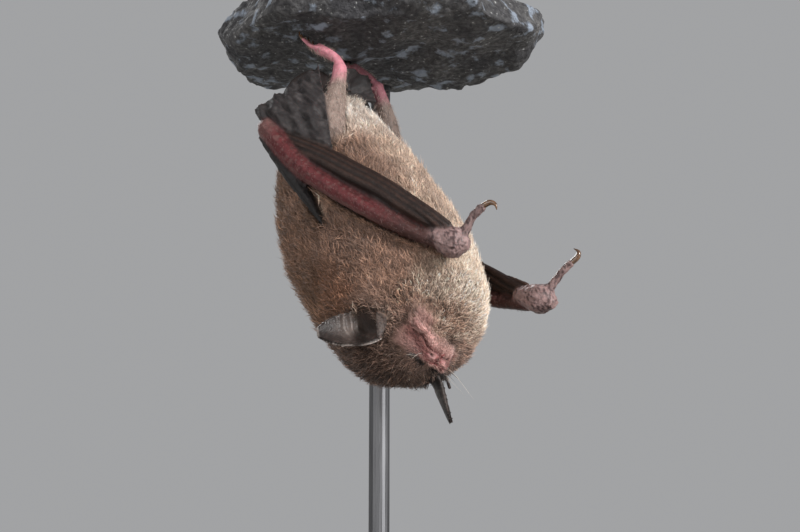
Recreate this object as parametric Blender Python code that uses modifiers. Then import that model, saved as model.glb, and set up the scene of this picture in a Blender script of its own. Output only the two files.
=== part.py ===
"""A Daubenton's bat asleep, hanging head down by its hind feet from a piece of rock on a display stand.

The bat is modelled in its own frame and then hung by one empty: X is its left, Y is its back and Z
runs along the body toward the head. Lengths in the bat's tables are millimetres, times MM.
"""

import math

import bmesh
import bpy
import numpy as np
from mathutils import Euler, Matrix, Vector, noise

MM = 0.001
GAP = 0.3
END_SIZE = 0.55
END_REACH = 0.6
CUT_MERGE = 1e-7

# Pose: the bat's own frame in the world.
HANG_POINT = (-7.2, -3.3, 77.6)
HANG_ANGLES = (-161.0, -3.0, -115.0)

# Head, turned to the bat's left and nodded toward the belly.
HEAD_CENTRE = (0.0, -1.8, 20.0)
HEAD_TURN = 30.0
HEAD_NOD = 31.0
NOSE_REACH = 9.4

# Coat outline along the body: station, half width, reach to the back, reach to the belly.
BODY_STATIONS = (
    (-25.2, 1.6, 2.6, 2.2),
    (-24.0, 4.2, 4.8, 4.6),
    (-20.0, 7.8, 8.2, 6.9),
    (-14.0, 10.6, 11.4, 9.2),
    (-6.0, 12.1, 13.8, 12.3),
    (2.0, 12.4, 14.4, 14.5),
    (10.0, 12.2, 13.0, 16.1),
    (17.0, 11.4, 11.4, 15.2),
    (21.6, 9.5, 8.2, 12.3),
    (24.8, 6.8, 4.6, 7.8),
    (26.3, 4.0, 1.8, 4.0),
    (26.9, 1.5, 0.4, 1.6),
)
RUFF_SHIFT = 3.0
RUFF_START = 10.0
RUFF_RISE = 1.5
BODY_AROUND = 25
BODY_RINGS = 20

# Head sections along the line from the nape to the nose: place on it, half width, crown, chin.
HEAD_SECTIONS = (
    (0.00, 10.6, 12.9, 11.5),
    (0.25, 10.2, 12.7, 10.6),
    (0.45, 8.9, 11.2, 8.6),
    (0.60, 7.2, 9.0, 6.4),
    (0.71, 5.2, 6.2, 4.4),
    (0.80, 3.6, 4.0, 3.5),
    (0.90, 3.0, 2.8, 3.1),
    (0.96, 2.5, 2.1, 2.5),
    (1.00, 1.5, 1.2, 1.5),
)
NAPE = (0.0, -2.4, 14.5)
HEAD_BEND = 0.4
HEAD_AROUND = 22
HEAD_RINGS = 16

NECK_FROM = 8.0
NECK_TO = 17.4
NECK_TILT = (0.15, 0.34, 0.93)

# Ears: tip from base, and the way the hollow side faces.
EARS = {
    "left": {"base": (6.2, 0.0, 19.5), "tip": (13.4, 7.5, 18.2), "hollow": (0.58, -0.81, -0.04),
             "tragus": ((9.3, -1.7, 17.6), (10.9, -1.8, 20.1), (12.1, -1.2, 22.5))},
    "right": {"base": (-4.3, -0.9, 22.6), "tip": (-7.9, -1.0, 32.4), "hollow": (-0.28, -0.96, -0.11),
              "tragus": ((-5.7, -2.6, 24.2), (-6.3, -3.0, 25.8), (-6.9, -2.9, 27.4))},
}
EAR_HALF_WIDTHS = (2.3, 3.0, 3.3, 3.1, 2.7, 2.05, 0.75)
EAR_CURLS = (85, 74, 58, 46, 36, 28, 20)
EAR_THICK = 0.6
EAR_ROWS = 11
EAR_COLUMNS = 9
TRAGUS_HALF_WIDTHS = (1.0, 0.95, 0.35)
TRAGUS_HALF_THICKS = (0.35, 0.32, 0.28)

# Wings: the bones' routes from the elbow to the wrist, and what hangs on them.
WINGS = {
    "left": {
        "forearm": ((14.0, 6.2, -17.0), (14.0, 5.4, -15.4), (13.9, 2.4, -8.1), (13.3, -2.4, -1.2),
                    (12.1, -7.6, 5.3), (10.3, -12.0, 10.1), (9.2, -14.2, 12.0)),
        "fingers": ((13.6, 3.9, -14.6), (13.9, 1.0, -11.0), (13.9, -2.8, -6.2), (12.9, -8.9, 1.0),
                    (10.9, -13.7, 7.5), (9.6, -15.7, 10.1)),
        "upper_arm": ((13.4, 6.7, -16.2), (13.3, 4.9, -9.0), (12.6, 3.3, -3.2), (11.5, 2.3, 1.8)),
        "hand": ((9.9, -13.2, 10.4), (9.1, -15.0, 11.9), (8.7, -16.1, 12.6), (8.5, -16.9, 13.0)),
        "thumb": ((8.7, -16.7, 12.2), (8.8, -18.3, 10.9), (8.8, -19.8, 9.6), (8.8, -21.5, 9.0)),
        "claw": ((8.8, -21.8, 8.95), (8.8, -22.8, 8.9), (8.8, -23.4, 9.4), (8.8, -23.5, 10.2)),
        "membrane": ((14.3, 6.6, -18.6), (13.8, -3.6, -8.6), (13.5, 7.3, -20.6), (8.2, -3.3, -26.0)),
    },
    "right": {
        "forearm": ((-14.6, 5.4, -7.4), (-14.5, 4.1, -5.5), (-14.0, -2.1, 4.1), (-11.6, -12.0, 14.6),
                    (-9.4, -18.6, 19.2)),
        "fingers": ((-14.2, 3.9, -10.4), (-14.4, 1.0, -6.6), (-14.0, -4.1, 0.9), (-11.4, -13.2, 11.6),
                    (-9.6, -18.9, 16.8)),
        "upper_arm": ((-14.0, 5.6, -6.6), (-12.9, 5.0, -2.0), (-11.9, 3.6, 3.0), (-10.8, 2.2, 7.6)),
        "hand": ((-9.6, -17.6, 17.1), (-9.0, -20.0, 18.7), (-8.7, -21.3, 19.7), (-8.5, -22.1, 20.5)),
        "thumb": ((-8.8, -21.6, 19.4), (-8.8, -23.4, 17.8), (-8.8, -25.3, 16.7), (-8.8, -27.2, 15.9)),
        "claw": ((-8.8, -27.6, 15.8), (-8.8, -28.6, 15.3), (-8.8, -28.8, 14.7), (-8.8, -28.4, 14.1)),
        "membrane": ((-14.6, 6.3, -9.4), (-14.4, -3.2, -5.4), (-13.4, 7.6, -13.4), (-7.8, -4.0, -27.0)),
    },
}
FOREARM_RADII = (1.5, 1.65, 1.6, 1.5, 1.3, 1.05, 1.0)
FINGERS_HALF_WIDTHS = {"left": (1.0, 1.5, 1.9, 1.8, 1.5, 1.2), "right": (1.0, 1.7, 2.2, 2.3, 1.9, 1.3)}
FINGERS_HALF_THICK = 0.85
# The way the flat side of the left wing's parts faces; the right wing's is its mirror image.
WING_FACING = (0.92, -0.36, 0.1)
UPPER_ARM_RADII = (1.3, 1.2, 0.9, 0.4)
HAND_RADII = (1.4, 2.25, 2.3, 1.5)
THUMB_RADII = (1.05, 0.72, 0.58, 0.66)
CLAW_RADII = (0.5, 0.42, 0.32, 0.14)
MEMBRANE_THICK = 0.6
MEMBRANE_BULGE = 1.0
MEMBRANE_FOLDS = 4
MEMBRANE_FOLD_DEPTH = 0.35
MEMBRANE_COLUMNS = 14
SHEET_ROWS = 5
FOLD_START = 0.4

# Hind legs from inside the rump to the ankle, and the feet that hold the rock.
LEGS = {
    "left": {"shank": ((9.0, -1.6, -13.0), (7.7, -3.1, -17.9), (6.6, -4.9, -22.4), (6.0, -5.9, -25.4)),
             "foot": ((6.0, -6.0, -26.3), (6.0, -5.0, -28.2), (6.0, -3.4, -30.2))},
    "right": {"shank": ((-8.6, -3.6, -14.0), (-7.6, -5.6, -18.6), (-6.6, -6.7, -23.0), (-6.0, -6.8, -26.0)),
              "foot": ((-6.0, -6.7, -26.9), (-6.0, -5.6, -29.0), (-6.0, -4.1, -31.2))},
}
SHANK_RADII = (3.2, 2.3, 1.35, 1.15)
FOOT_HALF_WIDTHS = (1.15, 1.5, 1.9)
FOOT_HALF_THICKS = (1.1, 0.95, 0.8)
TOE_COUNT = 5
TOE_ROW = 2.7
TOE_SPREAD = 3.6
TOE_ROOT = 0.6
TOE_LENGTH = 3.7
TOE_OUTER_SHORTER = 0.08
TOE_ARCH = 0.25
TOE_CLAW = 0.7
TOE_RADII = (0.48, 0.5, 0.46, 0.3)
HOLLOW_HALF_WIDTHS = (1.9, 2.6, 3.0, 3.1, 2.9)
HOLLOW_HALF_THICKS = (1.4, 1.3, 1.1, 1.1, 1.1)

# Tail, curled back over the rump, and the skin between it and the legs.
TAIL = ((0.0, 0.2, -25.8), (0.0, -0.6, -28.0), (0.0, 1.2, -30.2), (0.0, 4.6, -30.3), (0.0, 7.6, -27.9),
        (0.0, 9.3, -24.4), (0.0, 10.1, -21.4))
TAIL_RADII = (1.5, 1.15, 1.0, 0.9, 0.75, 0.6, 0.4)
TAIL_SKIN_HOLLOW = 2.6
TAIL_SKIN_FOLDS = 2
TAIL_SKIN_COLUMNS = 9
TAIL_SKIN = ((3.9, -5.4, -21.9), (-4.2, -6.4, -22.3), (4.2, -5.9, -26.6), (-4.2, -6.6, -27.4))

# Rock and stand, in the world.
ROCK_MIDDLE = (-5.0, 7.0, 117.0)
ROCK_SIZE = (50.0, 40.0, 15.0)
ROCK_ROUNDNESS = 0.45
ROCK_BALL = 1.3
ROCK_LUMPS = {"size": 9.0, "depth": 2.2, "grain": 3.6, "grain_depth": 0.8, "offset": (3.1, 0.7, 5.9)}
ROCK_CUTS = 4
ROCK_SEED = 3
# Broken faces: a point on each, from the rock's middle, and the way it faces.
ROCK_BREAKS = (
    ((17.0, -15.0, 0.0), (0.72, -0.60, 0.34)),
    ((-19.0, -12.0, 0.0), (-0.76, -0.50, 0.42)),
    ((17.0, 12.0, 0.0), (0.66, 0.70, -0.28)),
    ((-15.0, 15.0, 0.0), (-0.58, 0.78, 0.24)),
    ((7.0, 0.0, 6.2), (0.26, -0.12, 0.96)),
    ((-9.0, 4.0, 5.6), (-0.30, 0.22, 0.93)),
)
ROD_PLACE = (-5.5, 20.0)
ROD_RADIUS = 1.75
ROD_TOP = 114.0
ROD_BOTTOM = 2.5
BASE_SIZE = (92.0, 84.0, 6.0)
BASE_EDGE = 1.5
SHARP_FROM = 40.0


def material(name, colour, roughness, metallic=0.0):
    made = bpy.data.materials.new(name)
    made.use_nodes = True
    shader = made.node_tree.nodes["Principled BSDF"]
    shader.inputs["Base Color"].default_value = (*colour, 1.0)
    shader.inputs["Roughness"].default_value = roughness
    shader.inputs["Metallic"].default_value = metallic
    return made


def smooth_rows(rows, count):
    """Rows of numbers resampled to count rows on a smooth curve through them."""
    rows = np.asarray(rows, float)
    slopes = np.gradient(rows, axis=0)
    out = []
    for place in np.linspace(0, len(rows) - 1, count):
        i = min(int(place), len(rows) - 2)
        t = place - i
        rise = t * t * (3 - 2 * t)
        leaving = t * (1 - t) ** 2
        arriving = t * t * (t - 1)
        out.append(rows[i] * (1 - rise) + rows[i + 1] * rise + slopes[i] * leaving + slopes[i + 1] * arriving)
    return np.array(out)


def shown(name, mesh, look, parent=None):
    """An object of the model, shaded smooth."""
    made = bpy.data.objects.new(name, mesh)
    model.objects.link(made)
    made.parent = parent
    mesh.materials.clear()
    mesh.materials.append(look)
    mesh.shade_smooth()
    return made


def guide(name, mesh, parent=None):
    """A hidden object that shapes others."""
    made = bpy.data.objects.new(name, mesh)
    guides.objects.link(made)
    made.parent = parent
    made.hide_render = True
    made.display_type = "WIRE"
    return made


def mesh_from(name, shape):
    bmesh.ops.recalc_face_normals(shape, faces=shape.faces)
    mesh = bpy.data.meshes.new(name)
    shape.to_mesh(mesh)
    shape.free()
    return mesh


def loft(name, rings):
    """A closed mesh through rings of equally many points, with its two ends filled."""
    shape = bmesh.new()
    rows = [[shape.verts.new(Vector(point) * MM) for point in ring] for ring in rings]
    around = len(rows[0])
    for low, high in zip(rows, rows[1:]):
        for k in range(around):
            shape.faces.new((low[k], low[(k + 1) % around], high[(k + 1) % around], high[k]))
    shape.faces.new(rows[0])
    shape.faces.new(rows[-1])
    return mesh_from(name, shape)


def oval(centre, side, up, half_width, reach_up, reach_down, around):
    """Points round an oval whose upper and lower halves may differ in height."""
    ring = []
    for k in range(around):
        angle = math.tau * k / around
        height = reach_up if math.sin(angle) > 0 else reach_down
        ring.append(Vector(centre) + side * half_width * math.cos(angle) + up * height * math.sin(angle))
    return ring


def strand(name, route, half_widths, half_thicks, facing, steps=8, around=8):
    """A limb: ovals along a smooth route, their flat side turned toward facing."""
    route = smooth_rows(route, steps)
    widths = smooth_rows(np.reshape(half_widths, (-1, 1)), steps)[:, 0]
    thicks = smooth_rows(np.reshape(half_thicks, (-1, 1)), steps)[:, 0]
    facing = Vector(facing)
    rings = []
    for k in range(steps):
        ahead = Vector(route[min(k + 1, steps - 1)] - route[max(k - 1, 0)]).normalized()
        side = ahead.cross(facing).normalized()
        up = side.cross(ahead)
        rings.append(oval(route[k], side, up, widths[k], thicks[k], thicks[k], around))
    start = Vector(route[1] - route[0]).normalized()
    stop = Vector(route[-1] - route[-2]).normalized()
    rings.insert(0, rounded_end(rings[0], route[0], -start, min(widths[0], thicks[0])))
    rings.append(rounded_end(rings[-1], route[-1], stop, min(widths[-1], thicks[-1])))
    return loft(name, rings)


def rounded_end(ring, centre, outward, radius):
    """A smaller copy of an end ring, a little further out, which rounds the end off."""
    centre = Vector(centre)
    return [centre + (point - centre) * END_SIZE + outward * radius * END_REACH for point in ring]


def finished_mesh(source):
    bpy.context.view_layer.update()
    graph = bpy.context.evaluated_depsgraph_get()
    return bpy.data.meshes.new_from_object(source.evaluated_get(graph), depsgraph=graph)


def grown(source, by=GAP):
    """A hidden copy of an object's finished shape, a little larger, to cut its neighbours with."""
    mesh = finished_mesh(source)
    shape = bmesh.new()
    shape.from_mesh(mesh)
    shape.normal_update()
    for corner in shape.verts:
        corner.co += corner.normal * by * MM
    shape.to_mesh(mesh)
    shape.free()
    return guide(source.name + "_room", mesh, source.parent)


def boolean(target, other, operation="DIFFERENCE"):
    change = target.modifiers.new(operation.title() + " " + other.name, "BOOLEAN")
    change.object = other
    change.operation = operation
    change.solver = "EXACT"


def cut_away(shape, point, normal):
    """Removes what lies past a plane, and closes the cut."""
    everything = list(shape.verts) + list(shape.edges) + list(shape.faces)
    bmesh.ops.bisect_plane(
        shape, geom=everything, plane_co=point, plane_no=normal, dist=CUT_MERGE, clear_outer=True
    )
    rim = [edge for edge in shape.edges if edge.is_boundary]
    bmesh.ops.holes_fill(shape, edges=rim, sides=0)


def parted(name, source, lower, upper):
    """The length of a closed mesh between two planes, its cut ends filled."""
    shape = bmesh.new()
    shape.from_mesh(source)
    if lower:
        point, normal = lower
        cut_away(shape, point, -normal)
    if upper:
        cut_away(shape, *upper)
    return mesh_from(name, shape)


def head_matrix():
    """The head's left, crown and nose directions, as the columns of a matrix."""
    nod = Matrix.Rotation(math.radians(HEAD_NOD), 3, "X")
    turn = Matrix.Rotation(math.radians(HEAD_TURN), 3, "Y")
    return nod @ turn


def body_mesh():
    """The coat's outline from the rump to the ruff under the chin."""
    rings = []
    for station, half_width, back, belly in smooth_rows(BODY_STATIONS, BODY_RINGS):
        share = max(0.0, (station - RUFF_START) / (BODY_STATIONS[-1][0] - RUFF_START))
        middle = (-RUFF_SHIFT * share**RUFF_RISE, (back - belly) / 2, station)
        half_height = (back + belly) / 2
        rings.append(oval(middle, ACROSS, BACKWARD, half_width, half_height, half_height, BODY_AROUND))
    return loft("body_outline", rings)


def head_mesh():
    """The head's outline, bending from the neck's line to the nose's."""
    turned = head_matrix()
    ahead = turned.col[2]
    nape = Vector(NAPE)
    nose = Vector(HEAD_CENTRE) + ahead * NOSE_REACH
    reach = (nose - nape).length * HEAD_BEND
    corners = (nape, nape + ALONG * reach, nose - ahead * reach, nose)
    weights = (1, 3, 3, 1)
    rings = []
    for place, half_width, crown, chin in smooth_rows(HEAD_SECTIONS, HEAD_RINGS):
        middle = Vector()
        for k, corner in enumerate(corners):
            middle += corner * weights[k] * place**k * (1 - place) ** (3 - k)
        facing = Matrix.Identity(3).to_quaternion().slerp(turned.to_quaternion(), place).to_matrix()
        rings.append(oval(middle, facing.col[0], facing.col[1], half_width, crown, chin, HEAD_AROUND))
    return loft("head_outline", rings)


def make_body(pose):
    """Trunk, neck and head: one outline, parted by two thin cuts."""
    outline = guide("body_outline", body_mesh(), pose)
    boolean(outline, guide("head_outline", head_mesh(), pose), "UNION")
    whole = finished_mesh(outline)
    coat = guide("coat_outline", whole, pose)
    tilt = Vector(NECK_TILT).normalized()
    half_gap = GAP / 2
    planes = []
    for height, normal in ((NECK_FROM, ALONG), (NECK_TO, tilt)):
        below = (ALONG * height - normal * half_gap) * MM
        above = (ALONG * height + normal * half_gap) * MM
        planes.append(((below, normal), (above, normal)))
    trunk = shown("trunk", parted("trunk", whole, None, planes[0][0]), belly_fur, pose)
    neck = shown("neck", parted("neck", whole, planes[0][1], planes[1][0]), throat_fur, pose)
    head = shown("head", parted("head", whole, planes[1][1], None), head_fur, pose)
    return trunk, neck, head, grown(coat)


def ear_mesh(name, base, tip, hollow):
    """An open leaf from base to tip, its rims rolled toward the hollow side."""
    base = Vector(base)
    along = Vector(tip) - base
    facing = Vector(hollow)
    facing = (facing - along * facing.dot(along) / along.length_squared).normalized()
    across = facing.cross(along.normalized())
    rows = smooth_rows(list(zip(EAR_HALF_WIDTHS, EAR_CURLS)), EAR_ROWS)
    shape = bmesh.new()
    grid = []
    for i, (half_width, curl) in enumerate(rows):
        curl = math.radians(curl)
        radius = half_width / curl
        line = []
        for k in range(EAR_COLUMNS):
            angle = curl * (2 * k / (EAR_COLUMNS - 1) - 1)
            point = base + along * i / (EAR_ROWS - 1)
            point = point + across * radius * math.sin(angle) + facing * radius * (1 - math.cos(angle))
            line.append(shape.verts.new(point * MM))
        grid.append(line)
    fill_grid(shape, grid)
    return mesh_from(name, shape)


def fill_grid(shape, grid):
    for low, high in zip(grid, grid[1:]):
        for k in range(len(low) - 1):
            shape.faces.new((low[k], low[k + 1], high[k + 1], high[k]))


def solidify(target, thickness):
    change = target.modifiers.new("Solidify", "SOLIDIFY")
    change.thickness = thickness * MM
    change.offset = 0.0
    change.use_even_offset = True


def sheet_mesh(name, corners, outward, bulge, folds, fold_depth, columns):
    """An open patch between four corners, swelling outward in the middle and gathered in folds."""
    near_start, near_end, far_start, far_end = (Vector(corner) for corner in corners)
    outward = Vector(outward)
    shape = bmesh.new()
    grid = []
    for i in range(SHEET_ROWS):
        v = i / (SHEET_ROWS - 1)
        line = []
        for k in range(columns):
            u = k / (columns - 1)
            near = near_start.lerp(near_end, u)
            far = far_start.lerp(far_end, u)
            swell = bulge * math.sin(math.pi * u) * math.sin(math.pi * v)
            ripple = fold_depth * math.sin(math.tau * folds * u) * (FOLD_START + (1 - FOLD_START) * v)
            line.append(shape.verts.new((near.lerp(far, v) + outward * (swell + ripple)) * MM))
        grid.append(line)
    fill_grid(shape, grid)
    return mesh_from(name, shape)


def make_ear(side, pose, coat_room):
    """An ear and the small blade that stands in front of its opening."""
    spec = EARS[side]
    name = "ear_" + side
    ear = shown(name, ear_mesh(name, spec["base"], spec["tip"], spec["hollow"]), ear_skin, pose)
    solidify(ear, EAR_THICK)
    boolean(ear, coat_room)
    name = "tragus_" + side
    blade = strand(name, spec["tragus"], TRAGUS_HALF_WIDTHS, TRAGUS_HALF_THICKS, spec["hollow"], 5, 8)
    tragus = shown(name, blade, ear_skin, pose)
    boolean(tragus, coat_room)
    boolean(tragus, grown(ear))


def make_wing(side, pose):
    """The folded wing's pieces, each leaving room for those before it. The membrane comes last."""
    spec = WINGS[side]
    out = 1 if side == "left" else -1
    facing = (out * WING_FACING[0], *WING_FACING[1:])
    round_parts = (
        ("forearm", "forearm", FOREARM_RADII, arm_skin, (11, 10)),
        ("upper_arm", "upper_arm", UPPER_ARM_RADII, wing_skin, (7, 8)),
        ("wrist", "hand", HAND_RADII, hand_skin, (6, 12)),
        ("thumb", "thumb", THUMB_RADII, hand_skin, (7, 8)),
        ("thumb_claw", "claw", CLAW_RADII, horn, (6, 6)),
    )
    parts = {}
    for label, route, radii, look, detail in round_parts:
        name = label + "_" + side
        mesh = strand(name, spec[route], radii, radii, facing, *detail)
        parts[label] = shown(name, mesh, look, pose)
    name = "fingers_" + side
    wide = FINGERS_HALF_WIDTHS[side]
    thick = [FINGERS_HALF_THICK] * len(wide)
    parts["fingers"] = shown(
        name, strand(name, spec["fingers"], wide, thick, facing, 12, 10), wing_skin, pose
    )
    boolean(parts["wrist"], grown(parts["forearm"]))
    boolean(parts["fingers"], grown(parts["forearm"]))
    boolean(parts["fingers"], grown(parts["wrist"]))
    boolean(parts["upper_arm"], grown(parts["forearm"]))
    boolean(parts["upper_arm"], grown(parts["fingers"]))
    boolean(parts["thumb"], grown(parts["wrist"]))
    boolean(parts["thumb_claw"], grown(parts["thumb"]))
    name = "wing_membrane_" + side
    skin = sheet_mesh(
        name, spec["membrane"], (out, 0, 0), MEMBRANE_BULGE, MEMBRANE_FOLDS, MEMBRANE_FOLD_DEPTH,
        MEMBRANE_COLUMNS
    )
    parts["membrane"] = shown(name, skin, wing_skin, pose)
    solidify(parts["membrane"], MEMBRANE_THICK)
    return parts


def toe_route(heel, sole, fan):
    """Points along a toe, from under the pad to the claw's tip. fan runs from -1 to 1 across the foot."""
    onward = (sole - heel).normalized()
    sideways = onward.cross(rockward).normalized()
    start = sole - onward * TOE_ROOT + sideways * fan * TOE_ROW / 2
    reach = onward * TOE_LENGTH * (1 - TOE_OUTER_SHORTER * fan * fan)
    reach += sideways * fan * (TOE_SPREAD - TOE_ROW) / 2
    middle = start + reach / 2 - rockward * TOE_ARCH
    knuckle = start + reach
    return start, middle, knuckle, knuckle + (onward + rockward) * TOE_CLAW


def make_leg(side, pose):
    """A shank, a foot with five toes, and the room that the foot takes up in the rock."""
    spec = LEGS[side]
    name = "shank_" + side
    shank = shown(
        name, strand(name, spec["shank"], SHANK_RADII, SHANK_RADII, ACROSS, 8, 10), leg_skin, pose
    )
    name = "foot_" + side
    foot = shown(
        name, strand(name, spec["foot"], FOOT_HALF_WIDTHS, FOOT_HALF_THICKS, rockward, 5, 10), leg_skin, pose
    )
    heel, sole = Vector(spec["foot"][-2]), Vector(spec["foot"][-1])
    across = (sole - heel).cross(rockward)
    for k in range(TOE_COUNT):
        route = toe_route(heel, sole, 2 * k / (TOE_COUNT - 1) - 1)
        mesh = strand("toe", route, TOE_RADII, TOE_RADII, across, 5, 5)
        boolean(foot, guide(name + "_toe_" + str(k + 1), mesh, pose), "UNION")
    boolean(foot, grown(shank))
    route = (heel, *toe_route(heel, sole, 0.0))
    hollow = strand(name + "_hollow", route, HOLLOW_HALF_WIDTHS, HOLLOW_HALF_THICKS, rockward, 7, 12)
    return shank, foot, guide(name + "_hollow", hollow, pose)


def make_tail(pose):
    tail = shown("tail", strand("tail", TAIL, TAIL_RADII, TAIL_RADII, ACROSS, 13, 8), wing_skin, pose)
    skin = sheet_mesh(
        "tail_membrane", TAIL_SKIN, BACKWARD, TAIL_SKIN_HOLLOW, TAIL_SKIN_FOLDS, MEMBRANE_FOLD_DEPTH,
        TAIL_SKIN_COLUMNS
    )
    membrane = shown("tail_membrane", skin, wing_skin, pose)
    solidify(membrane, MEMBRANE_THICK)
    return tail, membrane


def make_rock():
    """A broken lump: a cube drawn a little toward a ball, roughened by noise, with its corners split off."""
    noise.seed_set(ROCK_SEED)
    middle = Vector(ROCK_MIDDLE)
    shape = bmesh.new()
    bmesh.ops.create_cube(shape, size=2.0)
    bmesh.ops.subdivide_edges(shape, edges=shape.edges[:], cuts=ROCK_CUTS, use_grid_fill=True)
    for corner in shape.verts:
        square = corner.co.copy()
        ball = square.normalized() * ROCK_BALL
        place = square.lerp(ball, ROCK_ROUNDNESS)
        place = Vector(place[k] * ROCK_SIZE[k] / 2 for k in range(3))
        lumps = noise.noise_vector(place / ROCK_LUMPS["size"] + Vector(ROCK_LUMPS["offset"]))
        grain = noise.noise_vector(place / ROCK_LUMPS["grain"])
        corner.co = (middle + place + lumps * ROCK_LUMPS["depth"] + grain * ROCK_LUMPS["grain_depth"]) * MM
    for point, normal in ROCK_BREAKS:
        cut_away(shape, (middle + Vector(point)) * MM, Vector(normal))
    return shown("perch_rock", mesh_from("perch_rock", shape), rock_stone)


def make_stand():
    """A flat base with softened edges and one rod that stands in it and holds the rock."""
    bpy.ops.mesh.primitive_cube_add(size=1.0, location=(0, 0, BASE_SIZE[2] / 2 * MM))
    base = bpy.context.object
    base.scale = [side * MM for side in BASE_SIZE]
    bpy.ops.object.transform_apply(location=True, scale=True)
    rounding = base.modifiers.new("Bevel", "BEVEL")
    rounding.width = BASE_EDGE * MM
    rounding.segments = 2
    height = ROD_TOP - ROD_BOTTOM
    middle = (ROD_PLACE[0] * MM, ROD_PLACE[1] * MM, (ROD_BOTTOM + height / 2) * MM)
    bpy.ops.mesh.primitive_cylinder_add(
        vertices=20, radius=ROD_RADIUS * MM, depth=height * MM, location=middle
    )
    rod = bpy.context.object
    bpy.ops.object.transform_apply(location=True)
    for made, name, look in ((base, "stand_base", base_paint), (rod, "stand_rod", rod_steel)):
        made.name = name
        made.data.name = name
        made.data.materials.append(look)
        for collection in list(made.users_collection):
            collection.objects.unlink(made)
        model.objects.link(made)
    rod.data.shade_smooth()
    rod.data.set_sharp_from_angle(angle=math.radians(SHARP_FROM))
    return base, rod


for left_over in list(bpy.data.objects):
    bpy.data.objects.remove(left_over, do_unlink=True)

model = bpy.data.collections.new("daubentons_bat")
guides = bpy.data.collections.new("guides")
bpy.context.scene.collection.children.link(model)
bpy.context.scene.collection.children.link(guides)

ACROSS = Vector((1, 0, 0))
BACKWARD = Vector((0, 1, 0))
ALONG = Vector((0, 0, 1))

belly_fur = material("belly_fur", (0.42, 0.32, 0.24), 0.9)
throat_fur = material("throat_fur", (0.46, 0.36, 0.28), 0.9)
head_fur = material("head_fur", (0.20, 0.13, 0.09), 0.9)
ear_skin = material("ear_skin", (0.09, 0.065, 0.06), 0.6)
wing_skin = material("wing_skin", (0.045, 0.04, 0.038), 0.55)
arm_skin = material("arm_skin", (0.16, 0.05, 0.05), 0.5)
hand_skin = material("hand_skin", (0.22, 0.14, 0.14), 0.45)
leg_skin = material("leg_skin", (0.42, 0.19, 0.21), 0.5)
horn = material("claw_horn", (0.06, 0.04, 0.035), 0.25)
rock_stone = material("rock_stone", (0.09, 0.09, 0.095), 0.85)
rod_steel = material("rod_steel", (0.55, 0.55, 0.56), 0.3, 1.0)
base_paint = material("base_paint", (0.03, 0.03, 0.032), 0.45)

hang = bpy.data.objects.new("hang", None)
model.objects.link(hang)
hang.location = Vector(HANG_POINT) * MM
hang.rotation_euler = Euler([math.radians(angle) for angle in HANG_ANGLES])
bpy.context.view_layer.update()
rockward = hang.matrix_world.to_3x3().transposed() @ ALONG

trunk, neck, head, coat_room = make_body(hang)
tail, tail_membrane = make_tail(hang)
legs = {side: make_leg(side, hang) for side in LEGS}
wings = {side: make_wing(side, hang) for side in WINGS}
for side in EARS:
    make_ear(side, hang, coat_room)

for side, parts in wings.items():
    shank = legs[side][0]
    for label in ("forearm", "upper_arm", "fingers"):
        boolean(parts["membrane"], grown(parts[label]))
    boolean(parts["membrane"], grown(shank))
    boolean(parts["membrane"], coat_room)
    for piece in (trunk, neck):
        for label in ("forearm", "upper_arm", "fingers", "wrist"):
            boolean(piece, grown(parts[label]))
    boolean(trunk, grown(shank))
    boolean(tail_membrane, grown(shank))
boolean(trunk, grown(tail))
boolean(tail_membrane, grown(tail))
boolean(tail_membrane, coat_room)

base, rod = make_stand()
rock = make_rock()
boolean(rock, grown(rod))
boolean(base, grown(rod))
for *_, hollow in legs.values():
    boolean(rock, hollow)
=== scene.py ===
import math

import bmesh
import bpy
import numpy as np
from mathutils import Euler, Matrix, Vector, noise
from mathutils.bvhtree import BVHTree
from mathutils.kdtree import KDTree


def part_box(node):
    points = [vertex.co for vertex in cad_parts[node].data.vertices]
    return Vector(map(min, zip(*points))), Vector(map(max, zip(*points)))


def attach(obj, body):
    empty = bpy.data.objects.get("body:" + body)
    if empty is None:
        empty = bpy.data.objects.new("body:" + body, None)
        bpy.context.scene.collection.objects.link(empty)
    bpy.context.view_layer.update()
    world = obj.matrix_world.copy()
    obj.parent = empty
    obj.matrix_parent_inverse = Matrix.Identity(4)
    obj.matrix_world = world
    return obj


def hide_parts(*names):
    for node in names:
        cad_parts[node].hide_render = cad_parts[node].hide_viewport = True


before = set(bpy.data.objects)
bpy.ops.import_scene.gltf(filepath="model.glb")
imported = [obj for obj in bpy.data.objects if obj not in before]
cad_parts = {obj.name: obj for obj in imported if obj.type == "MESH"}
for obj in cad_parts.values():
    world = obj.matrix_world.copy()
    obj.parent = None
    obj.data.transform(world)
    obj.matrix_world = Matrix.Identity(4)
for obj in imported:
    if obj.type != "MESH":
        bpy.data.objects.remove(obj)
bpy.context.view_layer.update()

mm = 0.001

# The bat's own axes, as in the solids: X its left, Y its back, Z toward the head, in millimetres.
pose = {
    "originFromTrunk": (-1.0, 0.38, -6.35),
    "hangAngles": (-161.0, -3.0, -115.0),
    "headCentre": (0.0, -1.8, 20.0),
    "headTurn": 30.0,
    "headNod": 31.0,
}
trunkLow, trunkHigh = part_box("trunk")
batOrigin = np.array((trunkLow + trunkHigh) / 2 / mm) + pose["originFromTrunk"]
batAxes = np.array(Euler([math.radians(a) for a in pose["hangAngles"]]).to_matrix())
headTurned = Matrix.Rotation(math.radians(pose["headNod"]), 3, "X")
headTurned = headTurned @ Matrix.Rotation(math.radians(pose["headTurn"]), 3, "Y")
headAxes = np.array(headTurned)
headCentre = np.array(pose["headCentre"])


def toBat(points):
    return (np.asarray(points) / mm - batOrigin) @ batAxes


def toWorld(points):
    return (np.asarray(points) @ batAxes.T + batOrigin) * mm


def toHead(batPoints):
    return (batPoints - headCentre) @ headAxes


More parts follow.
